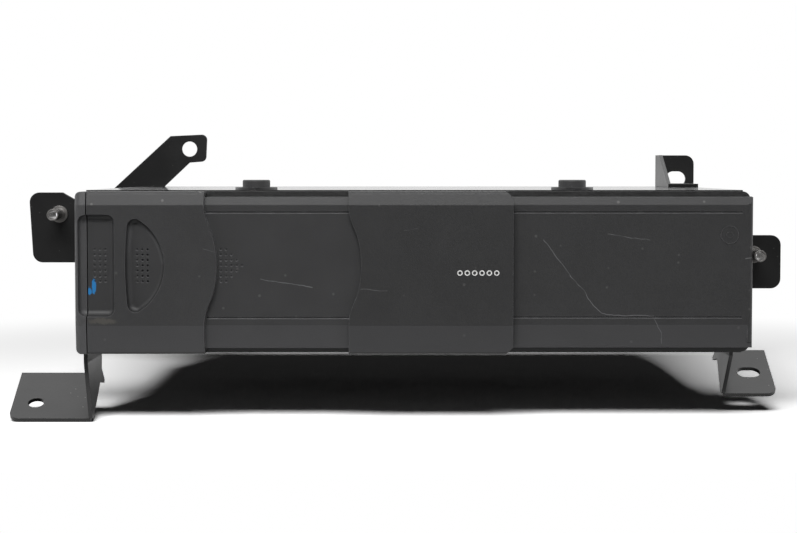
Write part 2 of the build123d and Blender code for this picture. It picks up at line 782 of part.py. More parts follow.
for tray in range(tray_count):
    with BuildPart() as disc_tray:
        low = tray_floor + tray * tray_pitch
        block(tray_left, tray_right, tray_front, tray_rear, low, low + tray_thickness)
        # Pocket for a disc and the slot that lets the turntable reach its middle.
        post(disc_pocket_radius, disc_x, disc_y, low + tray_thickness - disc_pocket_depth,
             low + tray_thickness + 1, Mode.SUBTRACT)
        post(hub_slot_width / 2, disc_x, disc_y, low - 1, low + tray_thickness, Mode.SUBTRACT)
        block(disc_x, tray_right + 1, disc_y - hub_slot_width / 2, disc_y + hub_slot_width / 2,
              low - 1, low + tray_thickness + 1, Mode.SUBTRACT)
    finish(disc_tray, f"disc_tray_{tray + 1}")

with BuildPart() as magazine_ejector:
    # An upright plate that pushes the magazine out from behind.
    block(disc_x - 25, disc_x + 25, magazine_rear + running_gap, magazine_rear + 1.8,
          chassis_top + seat_gap, magazine_floor_height + 14)
finish(magazine_ejector, "magazine_ejector")

# ---------------------------------------------------------------- lift

with BuildPart() as lift_frame:
    # A bent plate behind the magazine: a back and a shelf for the motor and the screw.
    shelf_back = screw_y + gear_reach + gear_room
    shelf_left = lift_motor_x - motor_radius - 2
    shelf_right = screw_x + gear_module * lift_gear_teeth / 2
    block(shelf_left, shelf_right, magazine_rear + 0.5, shelf_back,
          lift_plate_top - chassis_sheet, lift_plate_top)
    block(shelf_left, shelf_right, shelf_back - chassis_sheet, shelf_back, chassis_top,
          lift_plate_top)
    post(lift_screw_radius + shaft_fit, screw_x, screw_y, chassis_top, lift_plate_top + 1,
         Mode.SUBTRACT)
    post(spindle_shaft_radius + shaft_fit, lift_motor_x, screw_y, chassis_top,
         lift_plate_top + 1, Mode.SUBTRACT)
finish(lift_frame, "lift_frame")

with BuildPart() as lift_guide_posts:
    for x, y in post_places:
        post(post_radius, x, y, chassis_floor_height, case_height - case_sheet - 3)
finish(lift_guide_posts, "lift_guide_posts")

with BuildPart() as lift_motor:
    post(motor_radius, lift_motor_x, screw_y, lift_plate_top - chassis_sheet - motor_length,
         lift_plate_top - chassis_sheet)
    post(spindle_shaft_radius + shaft_fit, lift_motor_x, screw_y,
         lift_plate_top - chassis_sheet - 4, lift_plate_top, Mode.SUBTRACT)
finish(lift_motor, "lift_motor")


def gear_face(teeth, start):
    """A toothed disc about the sketch's origin, its teeth thinned to run free."""
    pitch_radius = gear_module * teeth / 2
    root = pitch_radius - 1.2 * gear_module
    tip = pitch_radius + 0.9 * gear_module
    root_half = 0.8 * gear_module - gear_backlash / 2
    tip_half = 0.35 * gear_module - gear_backlash / 6
    Circle(root)
    with PolarLocations(0, teeth, start_angle=start):
        Polygon((root - 0.3, -root_half), (tip, -tip_half), (tip, tip_half),
                (root - 0.3, root_half), align=None)


with BuildPart() as lift_screw:
    # A threaded post, drawn plain, with a thinner journal in the chassis.
    post(lift_screw_radius, screw_x, screw_y, chassis_top + 0.1, gear_floor + gear_thickness)
    post(screw_end_radius - shaft_fit, screw_x, screw_y, chassis_floor_height, chassis_top + 0.1)
finish(lift_screw, "lift_screw")

with BuildPart() as lift_gear:
    with BuildSketch(Plane.XY.offset(gear_floor)):
        with Locations((screw_x, screw_y)):
            gear_face(lift_gear_teeth, 0)
    extrude(amount=gear_thickness)
    post(lift_screw_radius, screw_x, screw_y, gear_floor - 1, gear_floor + 5, Mode.SUBTRACT)
finish(lift_gear, "lift_gear")

with BuildPart() as lift_pinion:
    with BuildSketch(Plane.XY.offset(gear_floor)):
        with Locations((lift_motor_x, screw_y)):
            gear_face(lift_pinion_teeth, 180 / lift_pinion_teeth)
    extrude(amount=gear_thickness)
    post(spindle_shaft_radius, lift_motor_x, screw_y, lift_plate_top - chassis_sheet - 3.5,
         gear_floor)
finish(lift_pinion, "lift_pinion")

# ---------------------------------------------------------------- player on the lift

motor_top = carriage_top + spindle_motor_height
turntable_floor = motor_top + running_gap
hub_floor = turntable_floor + turntable_thickness
clamp_floor = hub_floor + hub_height + running_gap
arm_floor = clamp_floor + clamp_thickness + running_gap
arm_top = arm_floor + clamp_arm_thickness
arm_pin_x = carriage_right - 5
arm_pin_height = (arm_floor + arm_top) / 2
clamp_arm_front = disc_y - clamp_arm_width / 2
clamp_arm_rear = disc_y + clamp_arm_width / 2
rod_height = carriage_top + sled_motor_radius + 0.1
sled_front = disc_y + sled_start - sled_length / 2
rod_front = sled_front - running_gap - 1.5
rod_rear = sled_front + sled_length + sled_travel + running_gap + 1.5
rod_xs = (spindle_x - 10, spindle_x + 10)
sled_screw_x = spindle_x + sled_width / 2 + 6.5
sled_top = rod_height + sled_height / 2

with BuildPart() as lift_carriage:
    block(carriage_left, carriage_right, carriage_front, carriage_rear, carriage_floor,
          carriage_top)
    # Sleeves that run on the guide posts, and the nut on the screw.
    for x, y in post_places:
        post(boss_outer, x, y, carriage_floor, carriage_top + 8)
    post(lift_screw_radius + boss_wall, screw_x, screw_y, carriage_floor, carriage_top + 6)
    block(carriage_left, screw_x + lift_screw_radius + boss_wall, carriage_rear - 2, screw_y,
          carriage_floor, carriage_top + 2)
    for x, y in post_places:
        post(post_radius + shaft_fit, x, y, carriage_floor - 1, carriage_top + 9, Mode.SUBTRACT)
    post(lift_screw_radius + shaft_fit, screw_x, screw_y, carriage_floor - 1, carriage_top + 9,
         Mode.SUBTRACT)
    # Cheeks that hold the clamp arm's pin.
    for y0 in (clamp_arm_front - running_gap - 1.5, clamp_arm_rear + running_gap):
        block(arm_pin_x - 4, arm_pin_x + 4, y0, y0 + 1.5, carriage_top, arm_top + 2)
    # Blocks that hold the sled's rods and screw.
    for y0 in (rod_front, rod_rear - 1.5):
        block(rod_xs[0] - 3, sled_screw_x + 3, y0, y0 + 1.5, carriage_top, rod_height + 2.5)
        for x in rod_xs:
            shaft(sled_rod_radius, x, rod_height, y0 - 1, y0 + 3, Mode.SUBTRACT)
        shaft(sled_screw_radius + shaft_fit, sled_screw_x, rod_height, y0 - 1, y0 + 3,
              Mode.SUBTRACT)
    shaft(arm_pin_radius, arm_pin_x, arm_pin_height, clamp_arm_front - 5, clamp_arm_rear + 5,
          Mode.SUBTRACT)
finish(lift_carriage, "lift_carriage")

with BuildPart() as spindle_motor:
    post(spindle_motor_radius, spindle_x, disc_y, carriage_top, motor_top)
    post(spindle_shaft_radius + shaft_fit, spindle_x, disc_y, carriage_top + 1, motor_top + 1,
         Mode.SUBTRACT)
finish(spindle_motor, "spindle_motor")

with BuildPart() as turntable:
    post(turntable_radius, spindle_x, disc_y, turntable_floor, hub_floor)
    post(hub_radius, spindle_x, disc_y, hub_floor, hub_floor + hub_height)
    chamfer(turntable.edges().filter_by(GeomType.CIRCLE).sort_by(Axis.Z)[-1], 0.8)
    post(spindle_shaft_radius, spindle_x, disc_y, carriage_top + 1.2, turntable_floor)
finish(turntable, "turntable")

with BuildPart() as clamp_arm:
    block(spindle_x - 8, arm_pin_x, clamp_arm_front, clamp_arm_rear, arm_floor, arm_top)
    shaft(arm_pin_radius + 1.4, arm_pin_x, arm_pin_height, clamp_arm_front, clamp_arm_rear)
    shaft(arm_pin_radius + shaft_fit, arm_pin_x, arm_pin_height, clamp_arm_front - 1,
          clamp_arm_rear + 1, Mode.SUBTRACT)
    post(clamp_stem_radius + shaft_fit, spindle_x, disc_y, arm_floor - 1, arm_top + 1,
         Mode.SUBTRACT)
finish(clamp_arm, "clamp_arm")

with BuildPart() as clamp_arm_pin:
    shaft(arm_pin_radius, arm_pin_x, arm_pin_height, clamp_arm_front - running_gap - 1.5,
          clamp_arm_rear + running_gap + 1.5)
finish(clamp_arm_pin, "clamp_arm_pin")

with BuildPart() as disc_clamp:
    # Hangs in the arm by its collared stem and turns with the disc.
    post(clamp_radius, spindle_x, disc_y, clamp_floor, clamp_floor + clamp_thickness)
    post(clamp_stem_radius, spindle_x, disc_y, clamp_floor, arm_top + running_gap)
    post(clamp_stem_radius + 1.5, spindle_x, disc_y, arm_top + running_gap,
         arm_top + running_gap + 0.8)
finish(disc_clamp, "disc_clamp")

with BuildPart() as sled_rods:
    for x in rod_xs:
        shaft(sled_rod_radius, x, rod_height, rod_front, rod_rear)
finish(sled_rods, "sled_rods")

with BuildPart() as sled_motor:
    shaft(sled_motor_radius, sled_screw_x, rod_height, rod_front - sled_motor_length, rod_front)
    shaft(sled_screw_radius + shaft_fit, sled_screw_x, rod_height, rod_front - 4, rod_front + 1,
          Mode.SUBTRACT)
finish(sled_motor, "sled_motor")

with BuildPart() as sled_screw:
    shaft(sled_screw_radius, sled_screw_x, rod_height, rod_front - 3.5, rod_rear)
finish(sled_screw, "sled_screw")

with BuildPart() as optical_pickup:
    block(spindle_x - sled_width / 2, sled_screw_x + 2.6, sled_front, sled_front + sled_length,
          rod_height - sled_height / 2, sled_top)
    for x in rod_xs:
        shaft(sled_rod_radius + shaft_fit, x, rod_height, sled_front - 1,
              sled_front + sled_length + 1, Mode.SUBTRACT)
    shaft(sled_screw_radius + shaft_fit, sled_screw_x, rod_height, sled_front - 1,
          sled_front + sled_length + 1, Mode.SUBTRACT)
finish(optical_pickup, "optical_pickup")

with BuildPart() as pickup_lens:
    post(lens_radius, spindle_x, disc_y + sled_start, sled_top + lens_lift,
         sled_top + lens_lift + lens_height)
    fillet(pickup_lens.edges().filter_by(GeomType.CIRCLE).sort_by(Axis.Z)[-1], 0.3)
finish(pickup_lens, "pickup_lens")

# ---------------------------------------------------------------- electronics

with BuildPart() as main_board:
    block(-board_width / 2, board_width / 2, board_front, board_back, board_floor_height,
          board_floor_height + board_height)
finish(main_board, "main_board")

with BuildPart() as board_spacers:
    # Stand the board off the rear wall.
    for x in (-board_width / 2 + board_edge, board_width / 2 - board_edge):
        for z in (board_floor_height + board_edge, board_floor_height + board_height - board_edge):
            shaft(2.5, x, z, board_back, rear - case_sheet)
finish(board_spacers, "board_spacers")

with BuildPart() as board_chips:
    for x, rise, width in ((-70, -3, 14), (-44, 7, 9), (-20, -5, 18), (76, -1, 12)):
        z = board_middle + rise
        block(x - width / 2, x + width / 2, board_front - 1.4, board_front,
              z - width / 2, z + width / 2)
finish(board_chips, "board_chips")

with BuildPart() as board_capacitors:
    for inset, rise, radius in ((10, -8, 4), (10, 8, 4), (20, 10, 3), (28, 10, 3)):
        shaft(radius, inset - board_width / 2, board_middle + rise, board_front - 9, board_front)
finish(board_capacitors, "board_capacitors")

with BuildPart() as rear_socket:
    # A shrouded socket that comes out through the pan's rear wall.
    half = socket_width / 2 - running_gap / 2
    low = socket_floor + running_gap / 2
    high = socket_floor + socket_height - running_gap / 2
    block(socket_x - half, socket_x + half, board_back, board_back + socket_depth, low, high)
    block(socket_x - half + socket_wall, socket_x + half - socket_wall, board_back + 2,
          board_back + socket_depth + 1, low + socket_wall, high - socket_wall, Mode.SUBTRACT)
    for column in range(pin_columns):
        for row in range(2):
            x, z = pin_place(column, row)
            block(x - pin_size / 2, x + pin_size / 2, board_back - 1, board_back + 3,
                  z - pin_size / 2, z + pin_size / 2, Mode.SUBTRACT)
finish(rear_socket, "rear_socket")

with BuildPart() as socket_pins:
    for column in range(pin_columns):
        for row in range(2):
            x, z = pin_place(column, row)
            block(x - pin_size / 2, x + pin_size / 2, board_back, board_back + 6,
                  z - pin_size / 2, z + pin_size / 2)
finish(socket_pins, "socket_pins")

# ---------------------------------------------------------------- brackets


foot_run = foot_depth * cos(radians(foot_slope))
foot_rise = foot_depth * sin(radians(foot_slope))
right_leg_front = front + right_leg_setback


def leg(side, leg_front, drop, lean):
    """The part of a side plate that leans inward on its way down to the foot."""
    x0 = side * half_width
    x1 = side * bracket_outer
    shift = -side * lean
    foot_front = leg_front - foot_lead
    foot_back = foot_front + foot_run
    back_drop = drop - foot_rise
    with BuildPart() as built:
        with BuildSketch(Plane.XZ):
            Polygon((x0, strap_bottom), (x1, strap_bottom), (x1, -leg_straight),
                    (x1 + shift, -drop), (x0 + shift, -drop), (x0, -leg_straight), align=None)
        extrude(amount=2 * case_depth, both=True)
        with BuildSketch(Plane.YZ):
            Polygon(
                (leg_front, strap_bottom),
                (leg_front, -leg_straight),
                (foot_front, -drop),
                (foot_front + 3, -drop),
                (foot_back, -back_drop - 3.5),
                (foot_back + leg_lobe, -back_drop - 5),
                (foot_back + leg_lobe + 2, -back_drop - 4),
                (foot_back + leg_lobe - 1.5, -back_drop + 1),
                (foot_back + leg_lobe + 6, 0),
                (foot_back + leg_lobe + 6, strap_bottom),
                align=None,
            )
        extrude(amount=2 * case_width, both=True, mode=Mode.INTERSECT)
    return built.part


def foot_plane(leg_front, drop):
    """The upper face of a sloping foot, with its origin on the front edge."""
    slope = radians(foot_slope)
    return Plane(origin=(0, leg_front - foot_lead, -drop), x_dir=(1, 0, 0),
                 z_dir=(0, -sin(slope), cos(slope)))


def foot_corners(side, drop, lean, length):
    """A foot's corners on its slope. Its inner edge follows the leaning leg."""
    lean_at_back = lean * max(0, drop - foot_rise - leg_straight) / (drop - leg_straight)
    inner_front = side * (half_width - lean + bracket_sheet / 2)
    inner_back = side * (half_width - lean_at_back + bracket_sheet / 2)
    outer = inner_front + side * length
    return (inner_front, 0), (outer, 0), (outer, foot_depth), (inner_back, foot_depth)


with BuildPart() as left_bracket:
    # Side plate along the case.
    block(-bracket_outer, -half_width, ear_front, arm_back, strap_bottom, strap_top)
    add(leg(-1, front, left_foot_drop, left_leg_lean))
    # Foot.
    left_foot = foot_corners(-1, left_foot_drop, left_leg_lean, left_foot_length)
    with BuildSketch(foot_plane(front, left_foot_drop)):
        Polygon(*left_foot, align=None)
        fillet(vertices().group_by(Axis.X)[0].sort_by(Axis.Y)[0], foot_corner)
        with Locations((left_foot[1][0] + left_hole_inset, left_hole_depth)):
            Circle(foot_hole_radius, mode=Mode.SUBTRACT)
    extrude(amount=-bracket_sheet)
    # Front ear.
    ear_left = -half_width - left_ear_reach
    with BuildSketch(Plane.XZ.offset(-ear_front)):
        with BuildLine():
            Polyline((-half_width, left_ear_bottom), (ear_left + 1.5, left_ear_bottom),
                     (ear_left, left_ear_top), (-half_width - 10, left_ear_top),
                     (-half_width - 3, left_ear_top - 4), (-half_width, left_ear_top - 4),
                     close=True)
        make_face()
        fillet(vertices().sort_by(Axis.X)[:2], ear_corner)
        with Locations((-half_width - left_stud_reach, left_stud_height)):
            Circle(stud_radius, mode=Mode.SUBTRACT)
    extrude(amount=-bracket_sheet)
    # Rear arm that rises over the case.
    eye_x = -half_width + arm_hole_inset
    eye_z = case_height + arm_hole_rise
    with BuildSketch(Plane.XZ.offset(-arm_front)):
        with BuildLine():
            Polyline((-half_width, strap_bottom + 12), (-bracket_outer, strap_bottom + 12),
                     (-half_width - arm_reach, strap_top - 2),
                     (-half_width - arm_reach, strap_top + 12),
                     (eye_x - 8.8, eye_z + 6.0), (eye_x + 8.2, eye_z + 6.8),
                     (eye_x + 7.6, eye_z - 5.7), (eye_x, eye_z - 6.3),
                     (-half_width, strap_top + 6.3), close=True)
        make_face()
        fillet(vertices().sort_by(Axis.X)[-2:], 2.4)
        with Locations((eye_x, eye_z)):
            Circle(arm_hole_radius, mode=Mode.SUBTRACT)
    extrude(amount=-bracket_sheet)
    for y in bracket_screw_ys:
        axle(screw_shank_radius, y, bracket_screw_height, -bracket_outer - 1, -half_width + 1,
             Mode.SUBTRACT)
finish(left_bracket, "left_bracket")

with BuildPart() as right_bracket:
    block(half_width, bracket_outer, ear_front, arm_back, strap_bottom, strap_top)
    add(leg(1, right_leg_front, right_foot_drop, right_leg_lean))
    right_foot = foot_corners(1, right_foot_drop, right_leg_lean, right_foot_length)
    with BuildSketch(foot_plane(right_leg_front, right_foot_drop)):
        Polygon(*right_foot, align=None)
        fillet(vertices().group_by(Axis.X)[-1].sort_by(Axis.Y)[0], foot_corner)
        with Locations((right_foot[0][0] + right_slot_inset, right_slot_depth)):
            SlotOverall(slot_length, slot_width, mode=Mode.SUBTRACT)
    extrude(amount=-bracket_sheet)
    ear_right = half_width + right_ear_reach
    with BuildSketch(Plane.XZ.offset(-ear_front)):
        with BuildLine():
            Polyline((half_width, right_ear_bottom), (ear_right, right_ear_bottom),
                     (ear_right, right_ear_top), (half_width, right_ear_top), close=True)
        make_face()
        fillet(vertices().group_by(Axis.X)[-1], ear_corner)
        with Locations((half_width + right_stud_reach, right_stud_height)):
            Circle(stud_radius, mode=Mode.SUBTRACT)
    extrude(amount=-bracket_sheet)
    # Riser, a flange on the cover, the web on it and the rear tab.
    web_front = rear - web_length
    web_x = half_width - web_inset
    tab_top = case_height + tab_rise
    tab_right = half_width + tab_reach
    flange_rear = arm_front - 8
    block(half_width, bracket_outer, web_front, flange_rear, strap_top,
          case_height + bracket_sheet)
    block(web_x, bracket_outer, web_front, flange_rear, case_height, case_height + bracket_sheet)
    with BuildSketch(Plane.YZ.offset(web_x)):
        with BuildLine():
            Polyline((web_front, case_height), (arm_back, case_height), (arm_back, tab_top),
                     (arm_front - 11, tab_top), close=True)
        make_face()
    extrude(amount=bracket_sheet)
    with BuildSketch(Plane.XZ.offset(-arm_front)):
        with Locations(((web_x + tab_right) / 2, case_height - 2 + (tab_rise + 2) / 2)):
            Rectangle(tab_right - web_x, tab_rise + 2)
        fillet(vertices().group_by(Axis.X)[-1], foot_corner)
        with Locations((half_width - tab_slot_inset, case_height + tab_slot_rise)):
            SlotOverall(slot_length, slot_width, mode=Mode.SUBTRACT)
    extrude(amount=-bracket_sheet)
    for y in bracket_screw_ys:
        axle(screw_shank_radius, y, bracket_screw_height, half_width - 1, bracket_outer + 1,
             Mode.SUBTRACT)
finish(right_bracket, "right_bracket")

for side, reach, height, name in (
    (-1, left_stud_reach, left_stud_height, "left_bracket_stud"),
    (1, right_stud_reach, right_stud_height, "right_bracket_stud"),
):
    with BuildPart() as stud:
        # A hollow stud riveted through the ear.
        x = side * (half_width + reach)
        shaft(stud_radius, x, height, ear_front - stud_length, ear_front + bracket_sheet)
        shaft(stud_flange_radius, x, height, ear_front - stud_flange_height, ear_front)
        shaft(stud_bore_radius, x, height, ear_front - stud_length - 1,
              ear_front + bracket_sheet + 1, Mode.SUBTRACT)
    finish(stud, name)

with BuildPart() as bracket_screws:
    for side in (-1, 1):
        for y in bracket_screw_ys:
            axle(screw_head_radius, y, bracket_screw_height, side * bracket_outer,
                 side * (bracket_outer + screw_head_height))
            axle(screw_shank_radius - shaft_fit, y, bracket_screw_height, side * bracket_outer,
                 side * (bracket_outer - screw_length))
finish(bracket_screws, "bracket_screws")
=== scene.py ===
# %% [markdown]
# # A car disc changer
#
# The object is a flat steel box with a plastic front. Most of that front is a door in two
# leaves: a grip on the left and a cover that slides over its tongue. A folded bracket with
# a leg, an ear and a rear arm or tab stands on each side. The solids already have the true
# shapes, so this file gives each piece its finish, replaces the small hardware with finer
# meshes, and lights it all the way a product is photographed on white.

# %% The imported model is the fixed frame
from math import atan, cos, pi, radians, sin

import bmesh
import bpy
from mathutils import Matrix, Vector


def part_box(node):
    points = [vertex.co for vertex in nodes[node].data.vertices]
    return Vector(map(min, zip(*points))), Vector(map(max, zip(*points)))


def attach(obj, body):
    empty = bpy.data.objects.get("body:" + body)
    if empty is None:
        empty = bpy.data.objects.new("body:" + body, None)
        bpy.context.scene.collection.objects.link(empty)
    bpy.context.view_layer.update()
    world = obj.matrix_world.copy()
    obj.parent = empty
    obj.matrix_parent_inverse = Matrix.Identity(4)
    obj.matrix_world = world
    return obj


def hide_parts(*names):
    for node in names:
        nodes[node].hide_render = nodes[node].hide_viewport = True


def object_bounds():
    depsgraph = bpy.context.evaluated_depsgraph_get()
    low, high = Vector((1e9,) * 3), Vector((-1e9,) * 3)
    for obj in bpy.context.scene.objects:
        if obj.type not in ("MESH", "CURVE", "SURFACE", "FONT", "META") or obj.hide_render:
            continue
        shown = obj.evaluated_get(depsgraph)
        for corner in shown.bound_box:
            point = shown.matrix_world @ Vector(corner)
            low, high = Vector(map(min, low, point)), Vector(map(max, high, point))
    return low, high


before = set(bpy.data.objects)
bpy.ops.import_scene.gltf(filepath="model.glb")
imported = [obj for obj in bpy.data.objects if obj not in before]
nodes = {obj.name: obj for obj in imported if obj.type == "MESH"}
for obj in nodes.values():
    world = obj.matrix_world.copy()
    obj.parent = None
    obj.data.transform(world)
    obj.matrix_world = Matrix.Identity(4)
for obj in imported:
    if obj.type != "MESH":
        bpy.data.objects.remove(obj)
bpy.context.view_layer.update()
MM = 0.001

# %% [markdown]
# ## The camera
#
# The picture was taken from in front with a fairly long lens, a little above the case's top.
# All lines that run into the depth meet at one point 96.5 pixels above the middle of the
# picture, so the camera looks down by the angle that those pixels make. Its distance comes
# from how much smaller the rear tabs look than the front. Depth of field stays off, because
# other views move this camera.

# %% Camera
PICTURE_WIDTH = 797
FOCAL_PIXELS = 1874
LOOK_DOWN_PIXELS = 96.5
camera_data = bpy.data.cameras.new("front_camera")
camera_data.sensor_width = 36.0
camera_data.lens = camera_data.sensor_width * FOCAL_PIXELS / PICTURE_WIDTH
camera_data.clip_end = 50.0
camera = bpy.data.objects.new("front_camera", camera_data)
camera.location = (-6.1 * MM, -792 * MM, 69.6 * MM)
camera.rotation_euler = (pi / 2 - atan(LOOK_DOWN_PIXELS / FOCAL_PIXELS), 0, 0)
bpy.context.scene.collection.objects.link(camera)
bpy.context.scene.camera = camera
bpy.context.scene.view_settings.view_transform = "Standard"
print("lens", round(camera_data.lens, 1), "mm")

# %% [markdown]
# ## Small helpers for materials
#
# A material here is the Principled shader plus a few effects that vary over the surface.
# Writing node trees by hand is long-winded, so three helpers add a node, make a reusable
# effect group, and place that group in a material. What is the same all over a surface is
# set straight on the shader, and only what changes is linked.


# %% Node helpers
def add_node(tree, kind, values=None, **settings):
    """A node with its settings made and its input sockets set or linked."""
    node = tree.nodes.new(kind)
    for name, value in settings.items():
        setattr(node, name, value)
    for key, value in (values or {}).items():
        if isinstance(value, bpy.types.NodeSocket):
            tree.links.new(value, node.inputs[key])
        else:
            node.inputs[key].default_value = value
    return node


def new_effect(name, inputs, outputs):
    """An empty shader node group with named sockets, and its two ends."""
    group = bpy.data.node_groups.new(name, "ShaderNodeTree")
    for label, kind, value in inputs:
        socket = group.interface.new_socket(label, in_out="INPUT", socket_type=kind)
        socket.default_value = value
    for label, kind in outputs:
        group.interface.new_socket(label, in_out="OUTPUT", socket_type=kind)
    return group, group.nodes.new("NodeGroupInput"), group.nodes.new("NodeGroupOutput")


def place(tree, group, **values):
    """An effect group put into a material; underscores in a name stand for spaces."""
    node = tree.nodes.new("ShaderNodeGroup")
    node.node_tree = group
    for key, value in values.items():
        label = key.replace("_", " ")
        if isinstance(value, bpy.types.NodeSocket):
            tree.links.new(value, node.inputs[label])
        else:
            node.inputs[label].default_value = value
    return node


def maths(tree, operation, a, b=0.0, clamp=False):
    """The result of one Math node."""
    node = add_node(tree, "ShaderNodeMath", {0: a, 1: b}, operation=operation, use_clamp=clamp)
    return node.outputs[0]


def vector_maths(tree, operation, a, b=(0, 0, 0), output="Vector"):
    """The result of one Vector Math node."""
    node = add_node(tree, "ShaderNodeVectorMath", {0: a, 1: b}, operation=operation)
    return node.outputs[output]


def remap(tree, value, low, high, to_low=0.0, to_high=1.0):
    """A value taken smoothly from one range to another."""
    node = add_node(tree, "ShaderNodeMapRange",
                    {"Value": value, "From Min": low, "From Max": high,
                     "To Min": to_low, "To Max": to_high}, interpolation_type="SMOOTHSTEP")
    return node.outputs["Result"]


def mix_colour(tree, mask, under, over):
    """One colour over another where the mask is white."""
    node = add_node(tree, "ShaderNodeMix", {"Factor": mask}, data_type="RGBA")
    for socket, colour in ((node.inputs[6], under), (node.inputs[7], over)):
        if isinstance(colour, bpy.types.NodeSocket):
            tree.links.new(colour, socket)
        else:
            socket.default_value = (*colour, 1.0)
    return node.outputs[2]


VECTOR, FLOAT = "NodeSocketVector", "NodeSocketFloat"
print("helpers ready")

# %% [markdown]
# ## Moulded grain
#
# Black trim plastic isn't smooth. Its mould is etched, so the face carries pits a few
# tenths of a millimetre across that scatter the light, with a slow mottling where the
# plastic cooled unevenly. Two noises do that: a fine one for the height, and a wide one
# for the tone.

# %% Effect: moulded grain
grain, start, end = new_effect(
    "moulded grain",
    [("Position", VECTOR, (0, 0, 0)), ("Pit Size", FLOAT, 0.4), ("Mottle Size", FLOAT, 14.0)],
    [("Height", FLOAT), ("Tone", FLOAT)],
)
pit_scale = maths(grain, "DIVIDE", 1 / MM, start.outputs["Pit Size"])
pits = add_node(grain, "ShaderNodeTexNoise",
                {"Vector": start.outputs["Position"], "Scale": pit_scale, "Detail": 2.0})
mottle_scale = maths(grain, "DIVIDE", 1 / MM, start.outputs["Mottle Size"])
mottle = add_node(grain, "ShaderNodeTexNoise",
                  {"Vector": start.outputs["Position"], "Scale": mottle_scale, "Detail": 3.0})
grain.links.new(pits.outputs["Fac"], end.inputs["Height"])
both = maths(grain, "ADD", maths(grain, "MULTIPLY", pits.outputs["Fac"], 0.6),
             maths(grain, "MULTIPLY", mottle.outputs["Fac"], 0.4))
grain.links.new(both, end.inputs["Tone"])
print("grain group:", len(grain.nodes), "nodes")

# %% [markdown]
# ## Rounded and worn edges
#
# No real edge is perfectly sharp. The Bevel node bends the normal near an edge, so the edge
# catches the light as a thin line, and how far that normal turns away from the face's own
# normal says where the edge is. The group gives that line whole, as the mask for a painted
# highlight line, and also broken up by noise into wear.

# %% Effect: edges
edges, start, end = new_effect(
    "rounded edges",
    [("Position", VECTOR, (0, 0, 0)), ("Radius", FLOAT, 0.3), ("Patch Size", FLOAT, 4.0)],
    [("Normal", VECTOR), ("Wear", FLOAT), ("Line", FLOAT)],
)
radius = maths(edges, "MULTIPLY", start.outputs["Radius"], MM)
rounded = add_node(edges, "ShaderNodeBevel", {"Radius": radius}, samples=4)
face = add_node(edges, "ShaderNodeNewGeometry")
agreement = vector_maths(edges, "DOT_PRODUCT", rounded.outputs["Normal"],
                         face.outputs["Normal"], output="Value")
line = remap(edges, agreement, 0.995, 0.86)
patch_scale = maths(edges, "DIVIDE", 1 / MM, start.outputs["Patch Size"])
patches = add_node(edges, "ShaderNodeTexNoise",
                   {"Vector": start.outputs["Position"], "Scale": patch_scale, "Detail": 5.0})
broken = remap(edges, patches.outputs["Fac"], 0.46, 0.66)
edges.links.new(rounded.outputs["Normal"], end.inputs["Normal"])
edges.links.new(line, end.inputs["Line"])
edges.links.new(maths(edges, "MULTIPLY", line, broken), end.inputs["Wear"])
print("edge group:", len(edges.nodes), "nodes")

# %% [markdown]
# ## Dust
#
# Dust settles on what faces up and shows as pale specks on black. The mask is a speckle of
# small cells, stronger where the surface looks upwards.

# %% Effect: dust
dust, start, end = new_effect(
    "dust specks",
    [("Position", VECTOR, (0, 0, 0)), ("Speck Spacing", FLOAT, 1.6), ("Amount", FLOAT, 0.3)],
    [("Mask", FLOAT)],
)
speck_scale = maths(dust, "DIVIDE", 1 / MM, start.outputs["Speck Spacing"])
cells = add_node(dust, "ShaderNodeTexVoronoi",
                 {"Vector": start.outputs["Position"], "Scale": speck_scale})
dot = remap(dust, cells.outputs["Distance"], 0.17, 0.06)
chosen = add_node(dust, "ShaderNodeSeparateColor", {"Color": cells.outputs["Color"]})
kept = maths(dust, "LESS_THAN", chosen.outputs["Red"], start.outputs["Amount"])
face = add_node(dust, "ShaderNodeNewGeometry")
facing = add_node(dust, "ShaderNodeSeparateXYZ", {"Vector": face.outputs["Normal"]})
upward = remap(dust, facing.outputs["Z"], -0.2, 0.6, 0.12, 1.0)
dust.links.new(maths(dust, "MULTIPLY", maths(dust, "MULTIPLY", dot, kept), upward),
               end.inputs["Mask"])
print("dust group:", len(dust.nodes), "nodes")

# %% [markdown]
# ## A single scratch
#
# The front has a handful of scratches in known places. Each straight stroke is one use of a
# group that takes its two ends: the distance from a point of the surface to the line between
# them gives the mask. A curved scratch is a chain of strokes. The position is stirred a
# little first, so the stroke isn't ruler-straight, and the mask fades in and out along it.

# %% Effect: scratch stroke
stroke, start, end = new_effect(
    "scratch stroke",
    [("Position", VECTOR, (0, 0, 0)), ("From", VECTOR, (0, 0, 0)), ("To", VECTOR, (0, 0, 0)),
     ("Width", FLOAT, 0.3), ("Strength", FLOAT, 1.0)],
    [("Mask", FLOAT)],
)
stir = add_node(stroke, "ShaderNodeTexNoise",
                {"Vector": start.outputs["Position"], "Scale": 260.0, "Detail": 2.0})
shake = vector_maths(stroke, "MULTIPLY",
                     vector_maths(stroke, "SUBTRACT", stir.outputs["Color"], (0.5, 0.5, 0.5)),
                     (1.1 * MM, 0, 1.1 * MM))
flat = vector_maths(stroke, "MULTIPLY",
                    vector_maths(stroke, "ADD", start.outputs["Position"], shake), (1, 0, 1))
along = vector_maths(stroke, "SUBTRACT", start.outputs["To"], start.outputs["From"])
to_point = vector_maths(stroke, "SUBTRACT", flat, start.outputs["From"])
share = maths(stroke, "DIVIDE",
              vector_maths(stroke, "DOT_PRODUCT", to_point, along, "Value"),
              vector_maths(stroke, "DOT_PRODUCT", along, along, "Value"), clamp=True)
foot = add_node(stroke, "ShaderNodeVectorMath", {0: along, "Scale": share}, operation="SCALE")
